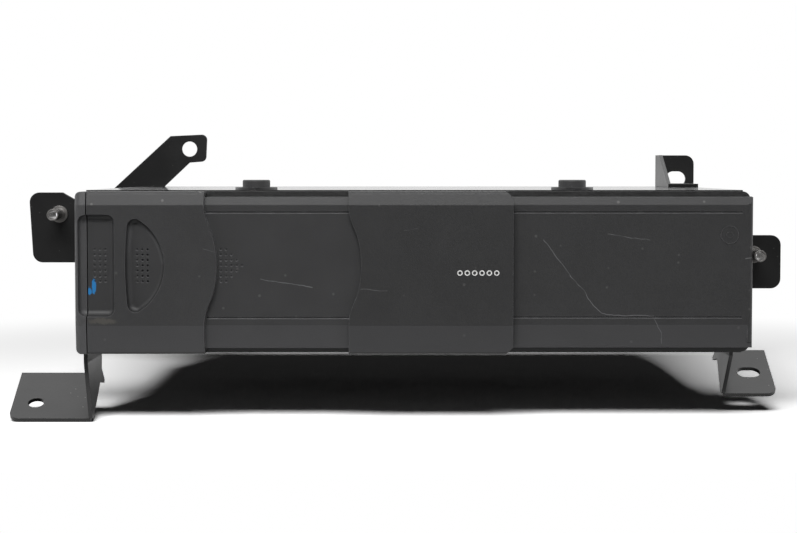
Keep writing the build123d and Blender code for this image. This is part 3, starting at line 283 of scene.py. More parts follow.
away = vector_maths(stroke, "LENGTH",
                    vector_maths(stroke, "SUBTRACT", to_point, foot.outputs["Vector"]),
                    output="Value")
half_width = maths(stroke, "MULTIPLY", start.outputs["Width"], MM / 2)
near = maths(stroke, "SUBTRACT", 1.0, maths(stroke, "DIVIDE", away, half_width), clamp=True)
skip = remap(stroke, stir.outputs["Fac"], 0.3, 0.55, 0.35, 1.0)
stroke.links.new(maths(stroke, "MULTIPLY", maths(stroke, "MULTIPLY", near, skip),
                       start.outputs["Strength"]), end.inputs["Mask"])
print("stroke group:", len(stroke.nodes), "nodes")

# %% [markdown]
# ## Black trim plastic
#
# All four pieces of the front are the same plastic, but each has its own marks. One
# function builds the material, and takes the tone, the scratches, and any patch of grime.
# The plastic is matt: most of what is seen of it is a broad, soft reflection, so the
# roughness varies with the grain, and a scratch is paler and a little rougher. Rounded edges
# are worn pale in patches and also carry a painted pale highlight line all along. The band
# below the lower crease, which faces a little downwards, gets a painted sheen, paler as if
# lit from the table.


# %% Trim plastic
SCRATCH_COLOUR = (0.14, 0.14, 0.145)
# Pale tone for worn edges, for the painted edge highlights and for the painted lower-band sheen.
WEAR_AND_HIGHLIGHT_COLOUR = (0.12, 0.12, 0.125)
DUST_COLOUR = (0.26, 0.255, 0.25)
PATCH_REACH = 1.45


def scratch_mask(tree, position, strokes):
    """All the strokes of one piece as one mask. Places are X and Z in millimetres."""
    mask = None
    for (x0, z0), (x1, z1), width, strength in strokes:
        mark = place(tree, stroke, Position=position, From=(x0 * MM, 0, z0 * MM),
                     To=(x1 * MM, 0, z1 * MM), Width=width, Strength=strength)
        mask = mark.outputs["Mask"] if mask is None else maths(
            tree, "MAXIMUM", mask, mark.outputs["Mask"])
    return mask


def patch_mask(tree, position, middle, half_size, edge):
    """A soft, ragged patch about a place on the front, in millimetres."""
    offset = vector_maths(tree, "SUBTRACT", position, (middle[0] * MM, 0, middle[1] * MM))
    scaled = vector_maths(tree, "MULTIPLY", offset,
                          (1 / (half_size[0] * MM), 0, 1 / (half_size[1] * MM)))
    ragged = add_node(tree, "ShaderNodeTexNoise", {"Vector": position, "Scale": 700.0})
    reach = maths(tree, "ADD", vector_maths(tree, "LENGTH", scaled, output="Value"),
                  maths(tree, "MULTIPLY", ragged.outputs["Fac"], 1.1))
    return remap(tree, reach, PATCH_REACH, PATCH_REACH - edge)


def start_material(name, colour, roughness, metallic=0.0):
    """A new material with its shader and the piece's own coordinates."""
    material = bpy.data.materials.new(name)
    material.use_nodes = True
    material.diffuse_color = (*colour, 1.0)
    tree = material.node_tree
    shader = tree.nodes["Principled BSDF"]
    shader.inputs["Base Color"].default_value = (*colour, 1.0)
    shader.inputs["Roughness"].default_value = roughness
    shader.inputs["Metallic"].default_value = metallic
    position = add_node(tree, "ShaderNodeTexCoord").outputs["Object"]
    return material, tree, shader, position


def set_bump(tree, shader, height, depth, normal):
    """A bump of so many millimetres over the rounded edges."""
    bump = add_node(tree, "ShaderNodeBump",
                    {"Height": height, "Distance": depth * MM, "Strength": 1.0,
                     "Normal": normal})
    tree.links.new(bump.outputs["Normal"], shader.inputs["Normal"])


def trim_plastic(name, tone, strokes=(), patches=()):
    """Grained black plastic with its own scratches and patches of colour."""
    dark = (tone * 0.97, tone * 0.97, tone)
    pale = (tone * 1.32, tone * 1.32, tone * 1.36)
    material, tree, shader, position = start_material(name, dark, 0.5)
    shader.inputs["Specular IOR Level"].default_value = 0.3
    texture = place(tree, grain, Position=position, Pit_Size=0.34)
    edge = place(tree, edges, Position=position, Radius=0.42)
    colour = mix_colour(tree, remap(tree, texture.outputs["Tone"], 0.36, 0.64), dark, pale)
    # Painted highlight: the whole edge line goes pale at half strength, on top of the real worn
    # patches.
    wear = maths(tree, "ADD", maths(tree, "MULTIPLY", edge.outputs["Wear"], 0.45),
                 maths(tree, "MULTIPLY", edge.outputs["Line"], 0.5))
    colour = mix_colour(tree, wear, colour, WEAR_AND_HIGHLIGHT_COLOUR)
    # Painted sheen: faces that tilt slightly downwards, such as the band below the lower crease,
    # are mixed paler, as if lit by the table below.
    face = add_node(tree, "ShaderNodeNewGeometry").outputs["Normal"]
    tilt = add_node(tree, "ShaderNodeSeparateXYZ", {"Vector": face}).outputs["Z"]
    painted_floor_sheen = maths(tree, "MULTIPLY", remap(tree, tilt, -0.004, -0.03),
                  remap(tree, tilt, -0.4, -0.2, 0.0, 0.16))
    colour = mix_colour(tree, painted_floor_sheen, colour, WEAR_AND_HIGHLIGHT_COLOUR)
    specks = place(tree, dust, Position=position, Speck_Spacing=4.5, Amount=0.22)
    colour = mix_colour(tree, maths(tree, "MULTIPLY", specks.outputs["Mask"], 0.5), colour,
                        DUST_COLOUR)
    for middle, half_size, patch_edge, patch_colour in patches:
        mask = patch_mask(tree, position, middle, half_size, patch_edge)
        colour = mix_colour(tree, mask, colour, patch_colour)
    rough = remap(tree, texture.outputs["Height"], 0.3, 0.7, 0.46, 0.58)
    if strokes:
        scratched = scratch_mask(tree, position, strokes)
        colour = mix_colour(tree, scratched, colour, SCRATCH_COLOUR)
        rough = maths(tree, "ADD", rough, maths(tree, "MULTIPLY", scratched, 0.2))
    tree.links.new(colour, shader.inputs["Base Color"])
    tree.links.new(rough, shader.inputs["Roughness"])
    set_bump(tree, shader, texture.outputs["Height"], 0.035, edge.outputs["Normal"])
    return material


print("trim plastic ready")

# %% The marks on each piece of the front
GRIME = (0.05, 0.047, 0.042)
INK_BLUE = (0.015, 0.16, 0.4)
grip_marks = [((-58.0, 28.7), (-38.5, 25.7), 0.42, 0.8), ((-79.0, 40.2), (-74.5, 39.0), 0.3, 0.4)]
cover_marks = [((-20.1, 25.1), (-10.4, 24.4), 0.36, 0.5), ((-4.0, 47.0), (1.5, 47.8), 0.25, 0.3)]
long_scratch = [(48.6, 43.3), (53.1, 37.3), (59.2, 29.0), (63.7, 24.1), (67.4, 18.5),
                (70.4, 15.8), (75.7, 14.7), (90.0, 14.7)]
tail_scratch = [(90.4, 13.2), (93.0, 8.3), (93.2, 4.2)]
short_scratch = [(72.7, 45.5), (79.1, 44.4), (88.5, 43.1)]
panel_marks = []
for chain, width, strength in ((long_scratch, 0.42, 0.8), (tail_scratch, 0.36, 0.7),
                               (short_scratch, 0.34, 0.75)):
    panel_marks += [(a, b, width, strength) for a, b in zip(chain, chain[1:])]
panel_marks.append(((124.8, 36.4), (127.6, 36.6), 0.5, 0.9))
smear = ((-120.6, 26.0), (1.0, 3.6), 0.3, INK_BLUE)
smear_foot = ((-122.2, 24.2), (1.0, 2.0), 0.3, INK_BLUE)
grime_line = ((-117.5, 13.0), (7.5, 1.6), 0.5, GRIME)
grip_plastic = trim_plastic("grip_plastic", 0.018, grip_marks,
                            [smear, smear_foot, grime_line])
cover_plastic = trim_plastic("cover_plastic", 0.012, cover_marks)
panel_plastic = trim_plastic("panel_plastic", 0.0145, panel_marks)
cap_plastic = trim_plastic("end_cap_plastic", 0.038, (), [grime_line])
print("front:", len(panel_marks), "strokes on the fixed panel")

# %% [markdown]
# ## Smooth plastics and rubber
#
# The rails behind the front, the magazine, the gears and the rubber caps have no etched
# grain. They differ in colour, in gloss and in how coarse the last trace of texture is, so
# one plainer function serves them all.


# %% Smooth plastics
def smooth_plastic(name, colour, roughness, pit_size=0.9, depth=0.006, wear=0.25):
    """Moulded plastic or rubber with little texture."""
    material, tree, shader, position = start_material(name, colour, roughness)
    texture = place(tree, grain, Position=position, Pit_Size=pit_size)
    edge = place(tree, edges, Position=position, Radius=0.2)
    tint = remap(tree, texture.outputs["Tone"], 0.35, 0.65)
    mixed = mix_colour(tree, tint, tuple(0.86 * c for c in colour),
                       tuple(min(1.0, 1.18 * c) for c in colour))
    worn = mix_colour(tree, maths(tree, "MULTIPLY", edge.outputs["Wear"], wear), mixed,
                      tuple(0.8 * c + 0.05 for c in colour))
    tree.links.new(worn, shader.inputs["Base Color"])
    tree.links.new(remap(tree, texture.outputs["Height"], 0.3, 0.7, roughness - 0.05,
                         roughness + 0.07), shader.inputs["Roughness"])
    set_bump(tree, shader, texture.outputs["Height"], depth, edge.outputs["Normal"])
    return material


rail_plastic = smooth_plastic("rail_plastic", (0.0015, 0.0015, 0.0016), 0.42)
cap_rubber = smooth_plastic("cap_rubber", (0.004, 0.004, 0.0044), 0.62, 0.5, 0.012)
ring_plastic = smooth_plastic("cap_ring_plastic", (0.008, 0.008, 0.0085), 0.38)
tray_plastic = smooth_plastic("tray_plastic", (0.055, 0.055, 0.06), 0.42)
shell_plastic = smooth_plastic("magazine_plastic", (0.035, 0.035, 0.038), 0.4, 0.4, 0.02)
gear_plastic = smooth_plastic("gear_plastic", (0.72, 0.71, 0.67), 0.38)
grey_plastic = smooth_plastic("grey_plastic", (0.12, 0.12, 0.13), 0.42)
chip_plastic = smooth_plastic("chip_plastic", (0.025, 0.025, 0.026), 0.5, 0.3, 0.01)
damper_rubber = smooth_plastic("damper_rubber", (0.02, 0.02, 0.02), 0.65, 0.5, 0.012)
print("smooth plastics ready")

# %% [markdown]
# ## Black paint on sheet steel
#
# The brackets and the case are steel sheet under a semi-gloss black paint. Sprayed paint
# pulls into tiny waves, the orange peel, which break up its reflections. Along the edges the
# paint is rubbed through to grey metal. Dust lies on the feet, so that amount is an input.

# %% Effect: orange peel
peel, start, end = new_effect(
    "orange peel",
    [("Position", VECTOR, (0, 0, 0)), ("Wave Size", FLOAT, 1.3)],
    [("Height", FLOAT), ("Gloss", FLOAT)],
)
wave_scale = maths(peel, "DIVIDE", 1 / MM, start.outputs["Wave Size"])
waves = add_node(peel, "ShaderNodeTexNoise",
                 {"Vector": start.outputs["Position"], "Scale": wave_scale, "Detail": 1.0})
smudge = add_node(peel, "ShaderNodeTexNoise",
                  {"Vector": start.outputs["Position"], "Scale": 38.0, "Detail": 4.0})
peel.links.new(waves.outputs["Fac"], end.inputs["Height"])
peel.links.new(remap(peel, smudge.outputs["Fac"], 0.35, 0.65), end.inputs["Gloss"])
print("peel group:", len(peel.nodes), "nodes")


# %% Painted steel
RUBBED_METAL = (0.2, 0.19, 0.18)


def painted_steel(name, tone, roughness, wear, dust_amount, coat=0.3, coat_roughness=0.2,
                  shine=0.5):
    """Black paint whose edges are worn and whose upper faces hold dust."""
    colour = (tone, tone, tone * 1.04)
    material, tree, shader, position = start_material(name, colour, roughness)
    shader.inputs["Specular IOR Level"].default_value = shine
    shader.inputs["Coat Weight"].default_value = coat
    shader.inputs["Coat Roughness"].default_value = coat_roughness
    skin = place(tree, peel, Position=position)
    edge = place(tree, edges, Position=position, Radius=0.35, Patch_Size=3.0)
    specks = place(tree, dust, Position=position, Speck_Spacing=1.5, Amount=dust_amount)
    worn = maths(tree, "MULTIPLY", edge.outputs["Wear"], wear)
    mixed = mix_colour(tree, worn, colour, RUBBED_METAL)
    mixed = mix_colour(tree, maths(tree, "MULTIPLY", specks.outputs["Mask"], 0.8), mixed,
                       DUST_COLOUR)
    tree.links.new(mixed, shader.inputs["Base Color"])
    tree.links.new(maths(tree, "MULTIPLY", worn, 0.8), shader.inputs["Metallic"])
    tree.links.new(remap(tree, skin.outputs["Gloss"], 0.0, 1.0, roughness - 0.02,
                         roughness + 0.03), shader.inputs["Roughness"])
    set_bump(tree, shader, skin.outputs["Height"], 0.02, edge.outputs["Normal"])
    return material


bracket_paint = painted_steel("bracket_paint", 0.0025, 0.36, 0.3, 0.12, coat=0.0, shine=0.33)
case_paint = painted_steel("case_paint", 0.005, 0.36, 0.35, 0.05, coat=0.6,
                           coat_roughness=0.04, shine=0.25)
screw_black = painted_steel("screw_black", 0.016, 0.34, 0.7, 0.05)
print("painted steel ready")

# %% [markdown]
# ## Bare metals
#
# Zinc on sheet steel grows in flat crystals, the spangle, each with its own grey. The studs
# and shafts are turned on a lathe, which leaves fine rings round their length, and the motor
# cans are drawn and slightly brushed. A Voronoi texture gives the crystals, and a wave
# along the piece gives the tool marks.

# %% Effect: spangle and tool marks
spangle, start, end = new_effect(
    "zinc spangle", [("Position", VECTOR, (0, 0, 0)), ("Crystal Size", FLOAT, 5.0)],
    [("Tone", FLOAT), ("Height", FLOAT)],
)
crystal_scale = maths(spangle, "DIVIDE", 1 / MM, start.outputs["Crystal Size"])
crystals = add_node(spangle, "ShaderNodeTexVoronoi",
                    {"Vector": start.outputs["Position"], "Scale": crystal_scale})
grey = add_node(spangle, "ShaderNodeSeparateColor", {"Color": crystals.outputs["Color"]})
spangle.links.new(grey.outputs["Green"], end.inputs["Tone"])
spangle.links.new(crystals.outputs["Distance"], end.inputs["Height"])

turned, start, end = new_effect(
    "tool marks", [("Position", VECTOR, (0, 0, 0)), ("Direction", VECTOR, (0, 1, 0)),
                   ("Spacing", FLOAT, 0.25)],
    [("Height", FLOAT), ("Tone", FLOAT)],
)
distance = vector_maths(turned, "DOT_PRODUCT", start.outputs["Position"],
                        start.outputs["Direction"], "Value")
lines = add_node(turned, "ShaderNodeTexNoise",
                 {"W": maths(turned, "DIVIDE", maths(turned, "DIVIDE", distance, MM),
                             start.outputs["Spacing"]), "Scale": 1.0, "Detail": 2.0},
                 noise_dimensions="1D")
turned.links.new(lines.outputs["Fac"], end.inputs["Height"])
turned.links.new(remap(turned, lines.outputs["Fac"], 0.3, 0.7), end.inputs["Tone"])
print("metal groups:", len(spangle.nodes) + len(turned.nodes), "nodes")


# %% Metals
def zinc_sheet(name):
    """Galvanised sheet with its crystals."""
    material, tree, shader, position = start_material(name, (0.55, 0.56, 0.57), 0.4, 1.0)
    crystal = place(tree, spangle, Position=position)
    edge = place(tree, edges, Position=position, Radius=0.2)
    tree.links.new(mix_colour(tree, crystal.outputs["Tone"], (0.5, 0.51, 0.52),
                              (0.63, 0.64, 0.65)), shader.inputs["Base Color"])
    tree.links.new(remap(tree, crystal.outputs["Tone"], 0.0, 1.0, 0.3, 0.46),
                   shader.inputs["Roughness"])
    set_bump(tree, shader, crystal.outputs["Height"], 0.004, edge.outputs["Normal"])
    return material


def turned_metal(name, colour, roughness, direction, spacing=0.25):
    """Bare metal with tool marks across one direction."""
    material, tree, shader, position = start_material(name, colour, roughness, 1.0)
    marks = place(tree, turned, Position=position, Direction=direction, Spacing=spacing)
    edge = place(tree, edges, Position=position, Radius=0.15)
    tree.links.new(mix_colour(tree, marks.outputs["Tone"], tuple(0.82 * c for c in colour),
                              colour), shader.inputs["Base Color"])
    tree.links.new(remap(tree, marks.outputs["Tone"], 0.0, 1.0, roughness + 0.08,
                         roughness - 0.04), shader.inputs["Roughness"])
    set_bump(tree, shader, marks.outputs["Height"], 0.006, edge.outputs["Normal"])
    return material


zinc = zinc_sheet("zinc_sheet")
stud_steel = turned_metal("stud_steel", (0.32, 0.31, 0.3), 0.24, (0, 1, 0))
post_steel = turned_metal("post_steel", (0.7, 0.7, 0.7), 0.22, (0, 0, 1))
can_metal = turned_metal("motor_can", (0.68, 0.68, 0.7), 0.34, (0, 0, 1), 0.4)
gold = turned_metal("contact_gold", (0.83, 0.62, 0.28), 0.25, (0, 1, 0))
print("metals ready")

# %% [markdown]
# ## Circuit board and lens
#
# The board is green lacquer over copper tracks: tracks show as a slightly lighter green, so
# a brick-like pattern of straight lines is enough. The lens is clear moulded plastic with a
# faint violet coating.

# %% Board and lens
board_lacquer, tree, shader, position = start_material("board_lacquer", (0.03, 0.13, 0.06), 0.3)
turned_position = add_node(tree, "ShaderNodeMapping",
                           {"Vector": position, "Rotation": (pi / 2, 0, 0)})
tracks = add_node(tree, "ShaderNodeTexBrick",
                  {"Vector": turned_position.outputs["Vector"], "Scale": 260.0,
                   "Mortar Size": 0.09, "Mortar Smooth": 0.1, "Color1": (0, 0, 0, 1),
                   "Color2": (0, 0, 0, 1), "Mortar": (1, 1, 1, 1)})
tree.links.new(mix_colour(tree, tracks.outputs["Fac"], (0.02, 0.1, 0.045), (0.05, 0.2, 0.09)),
               shader.inputs["Base Color"])
edge = place(tree, edges, Position=position, Radius=0.15)
set_bump(tree, shader, tracks.outputs["Fac"], 0.03, edge.outputs["Normal"])

lens_glass, tree, shader, position = start_material("lens_glass", (0.8, 0.82, 0.95), 0.05)
shader.inputs["Transmission Weight"].default_value = 0.9
shader.inputs["IOR"].default_value = 1.5
shader.inputs["Coat Weight"].default_value = 0.6
haze = place(tree, grain, Position=position, Pit_Size=0.5)
tree.links.new(remap(tree, haze.outputs["Tone"], 0.3, 0.7, 0.03, 0.08),
               shader.inputs["Roughness"])

print_white, tree, shader, position = start_material("print_white", (0.8, 0.8, 0.78), 0.5)
texture = place(tree, grain, Position=position, Pit_Size=0.3)
tree.links.new(mix_colour(tree, remap(tree, texture.outputs["Height"], 0.3, 0.6),
                          (0.45, 0.45, 0.44), (0.82, 0.82, 0.8)), shader.inputs["Base Color"])
print("board, lens and print ready")

# %% [markdown]
# ## Every solid gets its finish
#
# The solids keep their meshes; only the material slots change. A table from finish to nodes
# is easier to read and to check than one assignment per node.

# %% Finishes
FINISHES = {
    "door_grip": grip_plastic, "door_cover": cover_plastic,
    "fascia_fixed_panel": panel_plastic, "fascia_end_cap": cap_plastic,
    "fascia_frame": rail_plastic, "case_pan": case_paint, "case_cover": case_paint,
    "left_bracket": bracket_paint, "right_bracket": bracket_paint,
    "left_bracket_stud": stud_steel, "right_bracket_stud": stud_steel,
    "suspension_cap_left": cap_rubber, "suspension_cap_right": cap_rubber,
    "suspension_cap_retainers": ring_plastic, "eject_button": grey_plastic,
    "switch_board": board_lacquer, "eject_switch": chip_plastic, "eject_spring": post_steel,
    "chassis": zinc, "suspension_dampers": damper_rubber, "suspension_springs": post_steel,
    "magazine_rails": gear_plastic, "magazine_shell": shell_plastic,
    "magazine_ejector": gear_plastic, "lift_frame": zinc, "lift_guide_posts": post_steel,
    "lift_motor": can_metal, "lift_screw": post_steel, "lift_gear": gear_plastic,
    "lift_pinion": gold, "lift_carriage": zinc, "spindle_motor": can_metal,
    "turntable": grey_plastic, "clamp_arm": zinc, "clamp_arm_pin": stud_steel,
    "disc_clamp": grey_plastic, "sled_rods": stud_steel, "sled_motor": can_metal,
    "sled_screw": gear_plastic, "optical_pickup": chip_plastic, "pickup_lens": lens_glass,
    "main_board": board_lacquer, "board_spacers": gear_plastic, "board_chips": chip_plastic,
    "board_capacitors": can_metal, "rear_socket": chip_plastic, "socket_pins": gold,
    "cover_screws": screw_black, "bracket_screws": screw_black, "fascia_screws": screw_black,
}
for name, piece in nodes.items():
    finish = tray_plastic if name.startswith("disc_tray_") else FINISHES[name]
    piece.data.materials.clear()
    piece.data.materials.append(finish)
print(len(FINISHES) + 6, "nodes finished")

# %% [markdown]
# ## Screws with a cross recess
#
# The plain screw heads of the solids are too simple beside the rest. A real pan head is
# domed and has a cross for the driver. The head is turned from a profile, the cross is cut
# out once with a boolean, and copies of that mesh go where the solids' heads are.


# %% Screw heads
def link_mesh(name, mesh, material, body):
    """A new piece from a mesh, finished and riding on a body."""
    piece = bpy.data.objects.new(name, mesh)
    bpy.context.scene.collection.objects.link(piece)
    piece.data.materials.append(material)
    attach(piece, body)
    return piece


def lathe(profile, steps=40):
    """A mesh turned round Z from (radius, height) pairs that start and end on the axis."""
    shape = bmesh.new()
    points = [shape.verts.new((r, 0, z)) for r, z in profile]
    line = [shape.edges.new(pair) for pair in zip(points, points[1:])]
    bmesh.ops.spin(shape, geom=points + line, angle=2 * pi, steps=steps, axis=(0, 0, 1),
                   cent=(0, 0, 0))
    bmesh.ops.remove_doubles(shape, verts=shape.verts, dist=1e-6)
    bmesh.ops.recalc_face_normals(shape, faces=shape.faces)
    return shape


def cross_cutter(reach, width, top, floor):
    """A tapered cross that a driver leaves room for."""
    shape = bmesh.new()
    for turn in (0, pi / 2):
        made = bmesh.ops.create_cube(shape, size=1.0)["verts"]
        for v in made:
            upper = v.co.z > 0
            spread = 1.0 if upper else 0.45
            v.co = Vector((v.co.x * 2 * reach * spread, v.co.y * width * (1 if upper else 0.7),
                           top if upper else floor))
        bmesh.ops.rotate(shape, verts=made, cent=(0, 0, 0), matrix=Matrix.Rotation(turn, 3, "Z"))
    return shape


def to_mesh(shape, name):
    """A bmesh written to a new mesh and freed."""
    mesh = bpy.data.meshes.new(name)
    shape.to_mesh(mesh)
    shape.free()
    return mesh


def pan_head(radius, height, length, shank):
    """A mesh of one cross-recessed pan-head screw, its seat at zero and its head up."""
    dome = [(0, height)]
    for k in range(1, 7):
        turn = k / 6 * pi / 2
        dome.append((radius * sin(turn), height * (0.35 + 0.65 * cos(turn))))
    profile = dome + [(radius, 0), (shank, 0), (shank, -length + shank / 2),
                      (shank / 2, -length), (0, -length)]
    head = bpy.data.objects.new("head", to_mesh(lathe(profile), "head"))
    cutter_shape = cross_cutter(0.62 * radius, 0.24 * radius, height * 1.2, height * 0.12)
    cutter = bpy.data.objects.new("cutter", to_mesh(cutter_shape, "cutter"))
    for helper in (head, cutter):
        bpy.context.scene.collection.objects.link(helper)
    cut = head.modifiers.new("cross", "BOOLEAN")
    cut.operation, cut.object, cut.solver = "DIFFERENCE", cutter, "EXACT"
    cut.use_self = True
    depsgraph = bpy.context.evaluated_depsgraph_get()
    mesh = bpy.data.meshes.new_from_object(head.evaluated_get(depsgraph))
    for helper in (head, cutter):
        bpy.data.objects.remove(helper)
    return mesh


def screws(name, node, places, direction, head, shank, material):
    """All screws of one node in one mesh, each turned differently."""
    shape = bmesh.new()
    one = pan_head(*head, *shank)
    for number, seat in enumerate(places):
        way = Vector(direction(seat))
        turn = Matrix.Rotation(0.7 * number, 4, "Z")
        aim = way.to_track_quat("Z", "Y").to_matrix().to_4x4()
        copy = one.copy()
        copy.transform(Matrix.Translation(seat) @ aim @ turn)
        shape.from_mesh(copy)
    piece = link_mesh(name, to_mesh(shape, name), material, "case")
    for face in piece.data.polygons:
        face.use_smooth = True
    piece.data.set_sharp_from_angle(angle=radians(35))
    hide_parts(node)
    return piece


low, high = (Vector(corner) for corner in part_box("bracket_screws"))
print("bracket screws lie in", [round(v * 1000, 1) for v in (*low, *high)])

# %% Screw places
HEAD_RADIUS, HEAD_HEIGHT = 2.6 * MM, 1.3 * MM
SHANK_RADIUS, SCREW_LENGTH = 1.15 * MM, 4.0 * MM


def side_seats(node, count):
    """Seats of the screws that stand in the two sides, found from the node's box."""
    low, high = (Vector(corner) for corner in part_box(node))
    z = (low.z + high.z) / 2
    first, last = low.y + HEAD_RADIUS, high.y - HEAD_RADIUS
    return [Vector((x, first + (last - first) * k / (count - 1), z))
            for x in (low.x + HEAD_HEIGHT, high.x - HEAD_HEIGHT) for k in range(count)]


def outward(seat):
    """Away from the case's middle, to the left or the right."""
    return (1 if seat.x > 0 else -1, 0, 0)


head, shank = (HEAD_RADIUS, HEAD_HEIGHT), (SCREW_LENGTH, SHANK_RADIUS)
screws("bracket_side_screws", "bracket_screws", side_seats("bracket_screws", 3), outward,
       head, shank, screw_black)
screws("cover_side_screws", "cover_screws", side_seats("cover_screws", 2), outward,
       head, shank, screw_black)
print("side screws made")

# %% [markdown]
# ## Springs and threads
#
# Inside, four springs carry the chassis and one pushes the button, and two screws drive the
# lift and the pickup. The solids show them as plain sleeves and rods. A coil is a helix
# swept by a round section, and a thread is a tube whose radius follows the helix, so both
# come from short formulas.


# %% Coils
def coil_points(radius, length, turns, wire):
    """Points of a helix along Z whose first and last turns lie flat, as ground springs do."""
    points = []
    steps = int(turns * 20)
    for k in range(steps + 1):
        t = k / steps
        rise = min(max((t * turns - 0.8) / (turns - 1.6), 0.0), 1.0)
        turn = 2 * pi * turns * t
        points.append(Vector((radius * cos(turn), radius * sin(turn),
                              wire + rise * (length - 2 * wire))))
    return points


def tube(points, radius, sides=8):
    """A tube of even thickness along a list of points."""
    shape = bmesh.new()
    rings = []
    for k, point in enumerate(points):
        ahead = points[min(k + 1, len(points) - 1)] - points[max(k - 1, 0)]
        aim = ahead.to_track_quat("Z", "X").to_matrix()
        rings.append([shape.verts.new(point + aim @ Vector((radius * cos(a), radius * sin(a), 0)))
                      for a in (2 * pi * s / sides for s in range(sides))])
    for one, other in zip(rings, rings[1:]):
        for s in range(sides):
            shape.faces.new((one[s], one[(s + 1) % sides], other[(s + 1) % sides], other[s]))
    shape.faces.new(rings[0][::-1])
    shape.faces.new(rings[-1])
    return shape


def coil_spring(name, node, feet, length, radius, turns, wire, turn_to, material, body):
    """Springs that replace one node's sleeves, each standing on its foot."""
    shape = bmesh.new()
    for foot in feet:
        one = tube(coil_points(radius - wire, length, turns, wire), wire)
        bmesh.ops.transform(one, matrix=Matrix.Translation(foot) @ turn_to, verts=one.verts)
        shape.from_mesh(to_mesh(one, "coil"))
    piece = link_mesh(name, to_mesh(shape, name), material, body)
    for face in piece.data.polygons:
        face.use_smooth = True
    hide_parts(node)
    return piece


low, high = (Vector(corner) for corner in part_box("suspension_springs"))
COIL_RADIUS = 5.5 * MM
feet = [Vector((x, y, low.z)) for x in (low.x + COIL_RADIUS, high.x - COIL_RADIUS)
        for y in (low.y + COIL_RADIUS, high.y - COIL_RADIUS)]
coil_spring("chassis_springs", "suspension_springs", feet, high.z - low.z, COIL_RADIUS, 6,
            0.38 * MM, Matrix.Identity(4), post_steel, "case")
low, high = (Vector(corner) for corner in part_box("eject_spring"))
button_coil = (high.x - low.x) / 2
coil_spring("button_spring", "eject_spring", [Vector(((low.x + high.x) / 2, low.y,
                                                     (low.z + high.z) / 2))],
            high.y - low.y, button_coil, 5, 0.28 * MM, Matrix.Rotation(-pi / 2, 4, "X"),
            stud_steel, "case")
print("five springs wound")


# %% Threads
def threaded_rod(name, node, way, radius, pitch, depth, material, body):
    """A rod with a screw thread that replaces a plain one, along Y or Z."""
    low, high = (Vector(corner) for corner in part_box(node))
    middle = (low + high) / 2
    axis = "YZ".index(way) + 1
    length = high[axis] - low[axis]
    steps, sides = int(length / pitch * 8), 32
    shape = bmesh.new()
    rings = []
    for k in range(steps + 1):
        along = length * k / steps
        fade = min(1.0, along / pitch, (length - along) / pitch)
        ring = []
        for s in range(sides):
            turn = (along / pitch - s / sides) % 1.0
            groove = depth * fade * min(1.0, 2.4 * abs(turn - 0.5))
            a = 2 * pi * s / sides
            ring.append(shape.verts.new(((radius - groove) * cos(a), (radius - groove) * sin(a),
                                         along - length / 2)))
        rings.append(ring)
    for one, other in zip(rings, rings[1:]):
        for s in range(sides):
            shape.faces.new((one[s], one[(s + 1) % sides], other[(s + 1) % sides], other[s]))
    shape.faces.new(rings[0][::-1])
    shape.faces.new(rings[-1])
    turn_to = Matrix.Rotation(-pi / 2, 4, "X") if way == "Y" else Matrix.Identity(4)
    bmesh.ops.transform(shape, matrix=Matrix.Translation(middle) @ turn_to, verts=shape.verts)
    piece = link_mesh(name, to_mesh(shape, name), material, body)
    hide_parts(node)
    return piece


threaded_rod("lift_thread", "lift_screw", "Z", 2.5 * MM, 2.2 * MM, 0.5 * MM, post_steel,
             "lift_screw")
threaded_rod("sled_thread", "sled_screw", "Y", 1.2 * MM, 1.0 * MM, 0.22 * MM, gear_plastic,
             "sled_screw")
print("two threads cut")

# %% [markdown]
# ## Plain marks on the front
#
# Where the front carries print, this part has a generic mark: six small rings in white, one
# for each disc. Where it has a moulded mark, there is a plain ring with a hub, raised by a
# tenth of a millimetre. Both are thin rings of real geometry, so their edges stay sharp.


# %% Ring marks
FIRST_MARK_X, MARK_PITCH, MARK_Z = 16.9 * MM, 2.75 * MM, 31.1 * MM
EMBOSS_X, EMBOSS_Z = 118.6 * MM, 45.2 * MM
PRINT_THICKNESS, EMBOSS_HEIGHT = 0.03 * MM, 0.1 * MM


def flat_ring(shape, centre, inner, outer, thickness, steps=48):
    """A thin ring that stands on a face turned to the front."""
    rims = []
    for radius, y in ((outer, centre.y), (outer, centre.y - thickness),
                      (inner, centre.y - thickness), (inner, centre.y)):
        rims.append([shape.verts.new((centre.x + radius * cos(a), y, centre.z + radius * sin(a)))
                     for a in (2 * pi * s / steps for s in range(steps))])
    for one, other in zip(rims, rims[1:] + rims[:1]):
        for s in range(steps):
            shape.faces.new((one[s], one[(s + 1) % steps], other[(s + 1) % steps], other[s]))


cover_low = Vector(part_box("door_cover")[0])
marks = bmesh.new()
for number in range(6):
    spot = Vector((FIRST_MARK_X + number * MARK_PITCH, cover_low.y, MARK_Z))
    flat_ring(marks, spot, 0.62 * MM, 1.02 * MM, PRINT_THICKNESS)
bmesh.ops.recalc_face_normals(marks, faces=marks.faces)
disc_marks = link_mesh("six_disc_marks", to_mesh(marks, "six_disc_marks"), print_white,
                       "door_cover")

panel_low = Vector(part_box("fascia_fixed_panel")[0])
emboss = bmesh.new()
spot = Vector((EMBOSS_X, panel_low.y, EMBOSS_Z))
flat_ring(emboss, spot, 3.1 * MM, 3.5 * MM, EMBOSS_HEIGHT, 72)
flat_ring(emboss, spot, 1.0 * MM, 1.3 * MM, EMBOSS_HEIGHT, 48)
bmesh.ops.recalc_face_normals(emboss, faces=emboss.faces)
ring_emboss = link_mesh("ring_emboss", to_mesh(emboss, "ring_emboss"), panel_plastic, "case")
print("front face at", round(cover_low.y * 1000, 1), "mm")

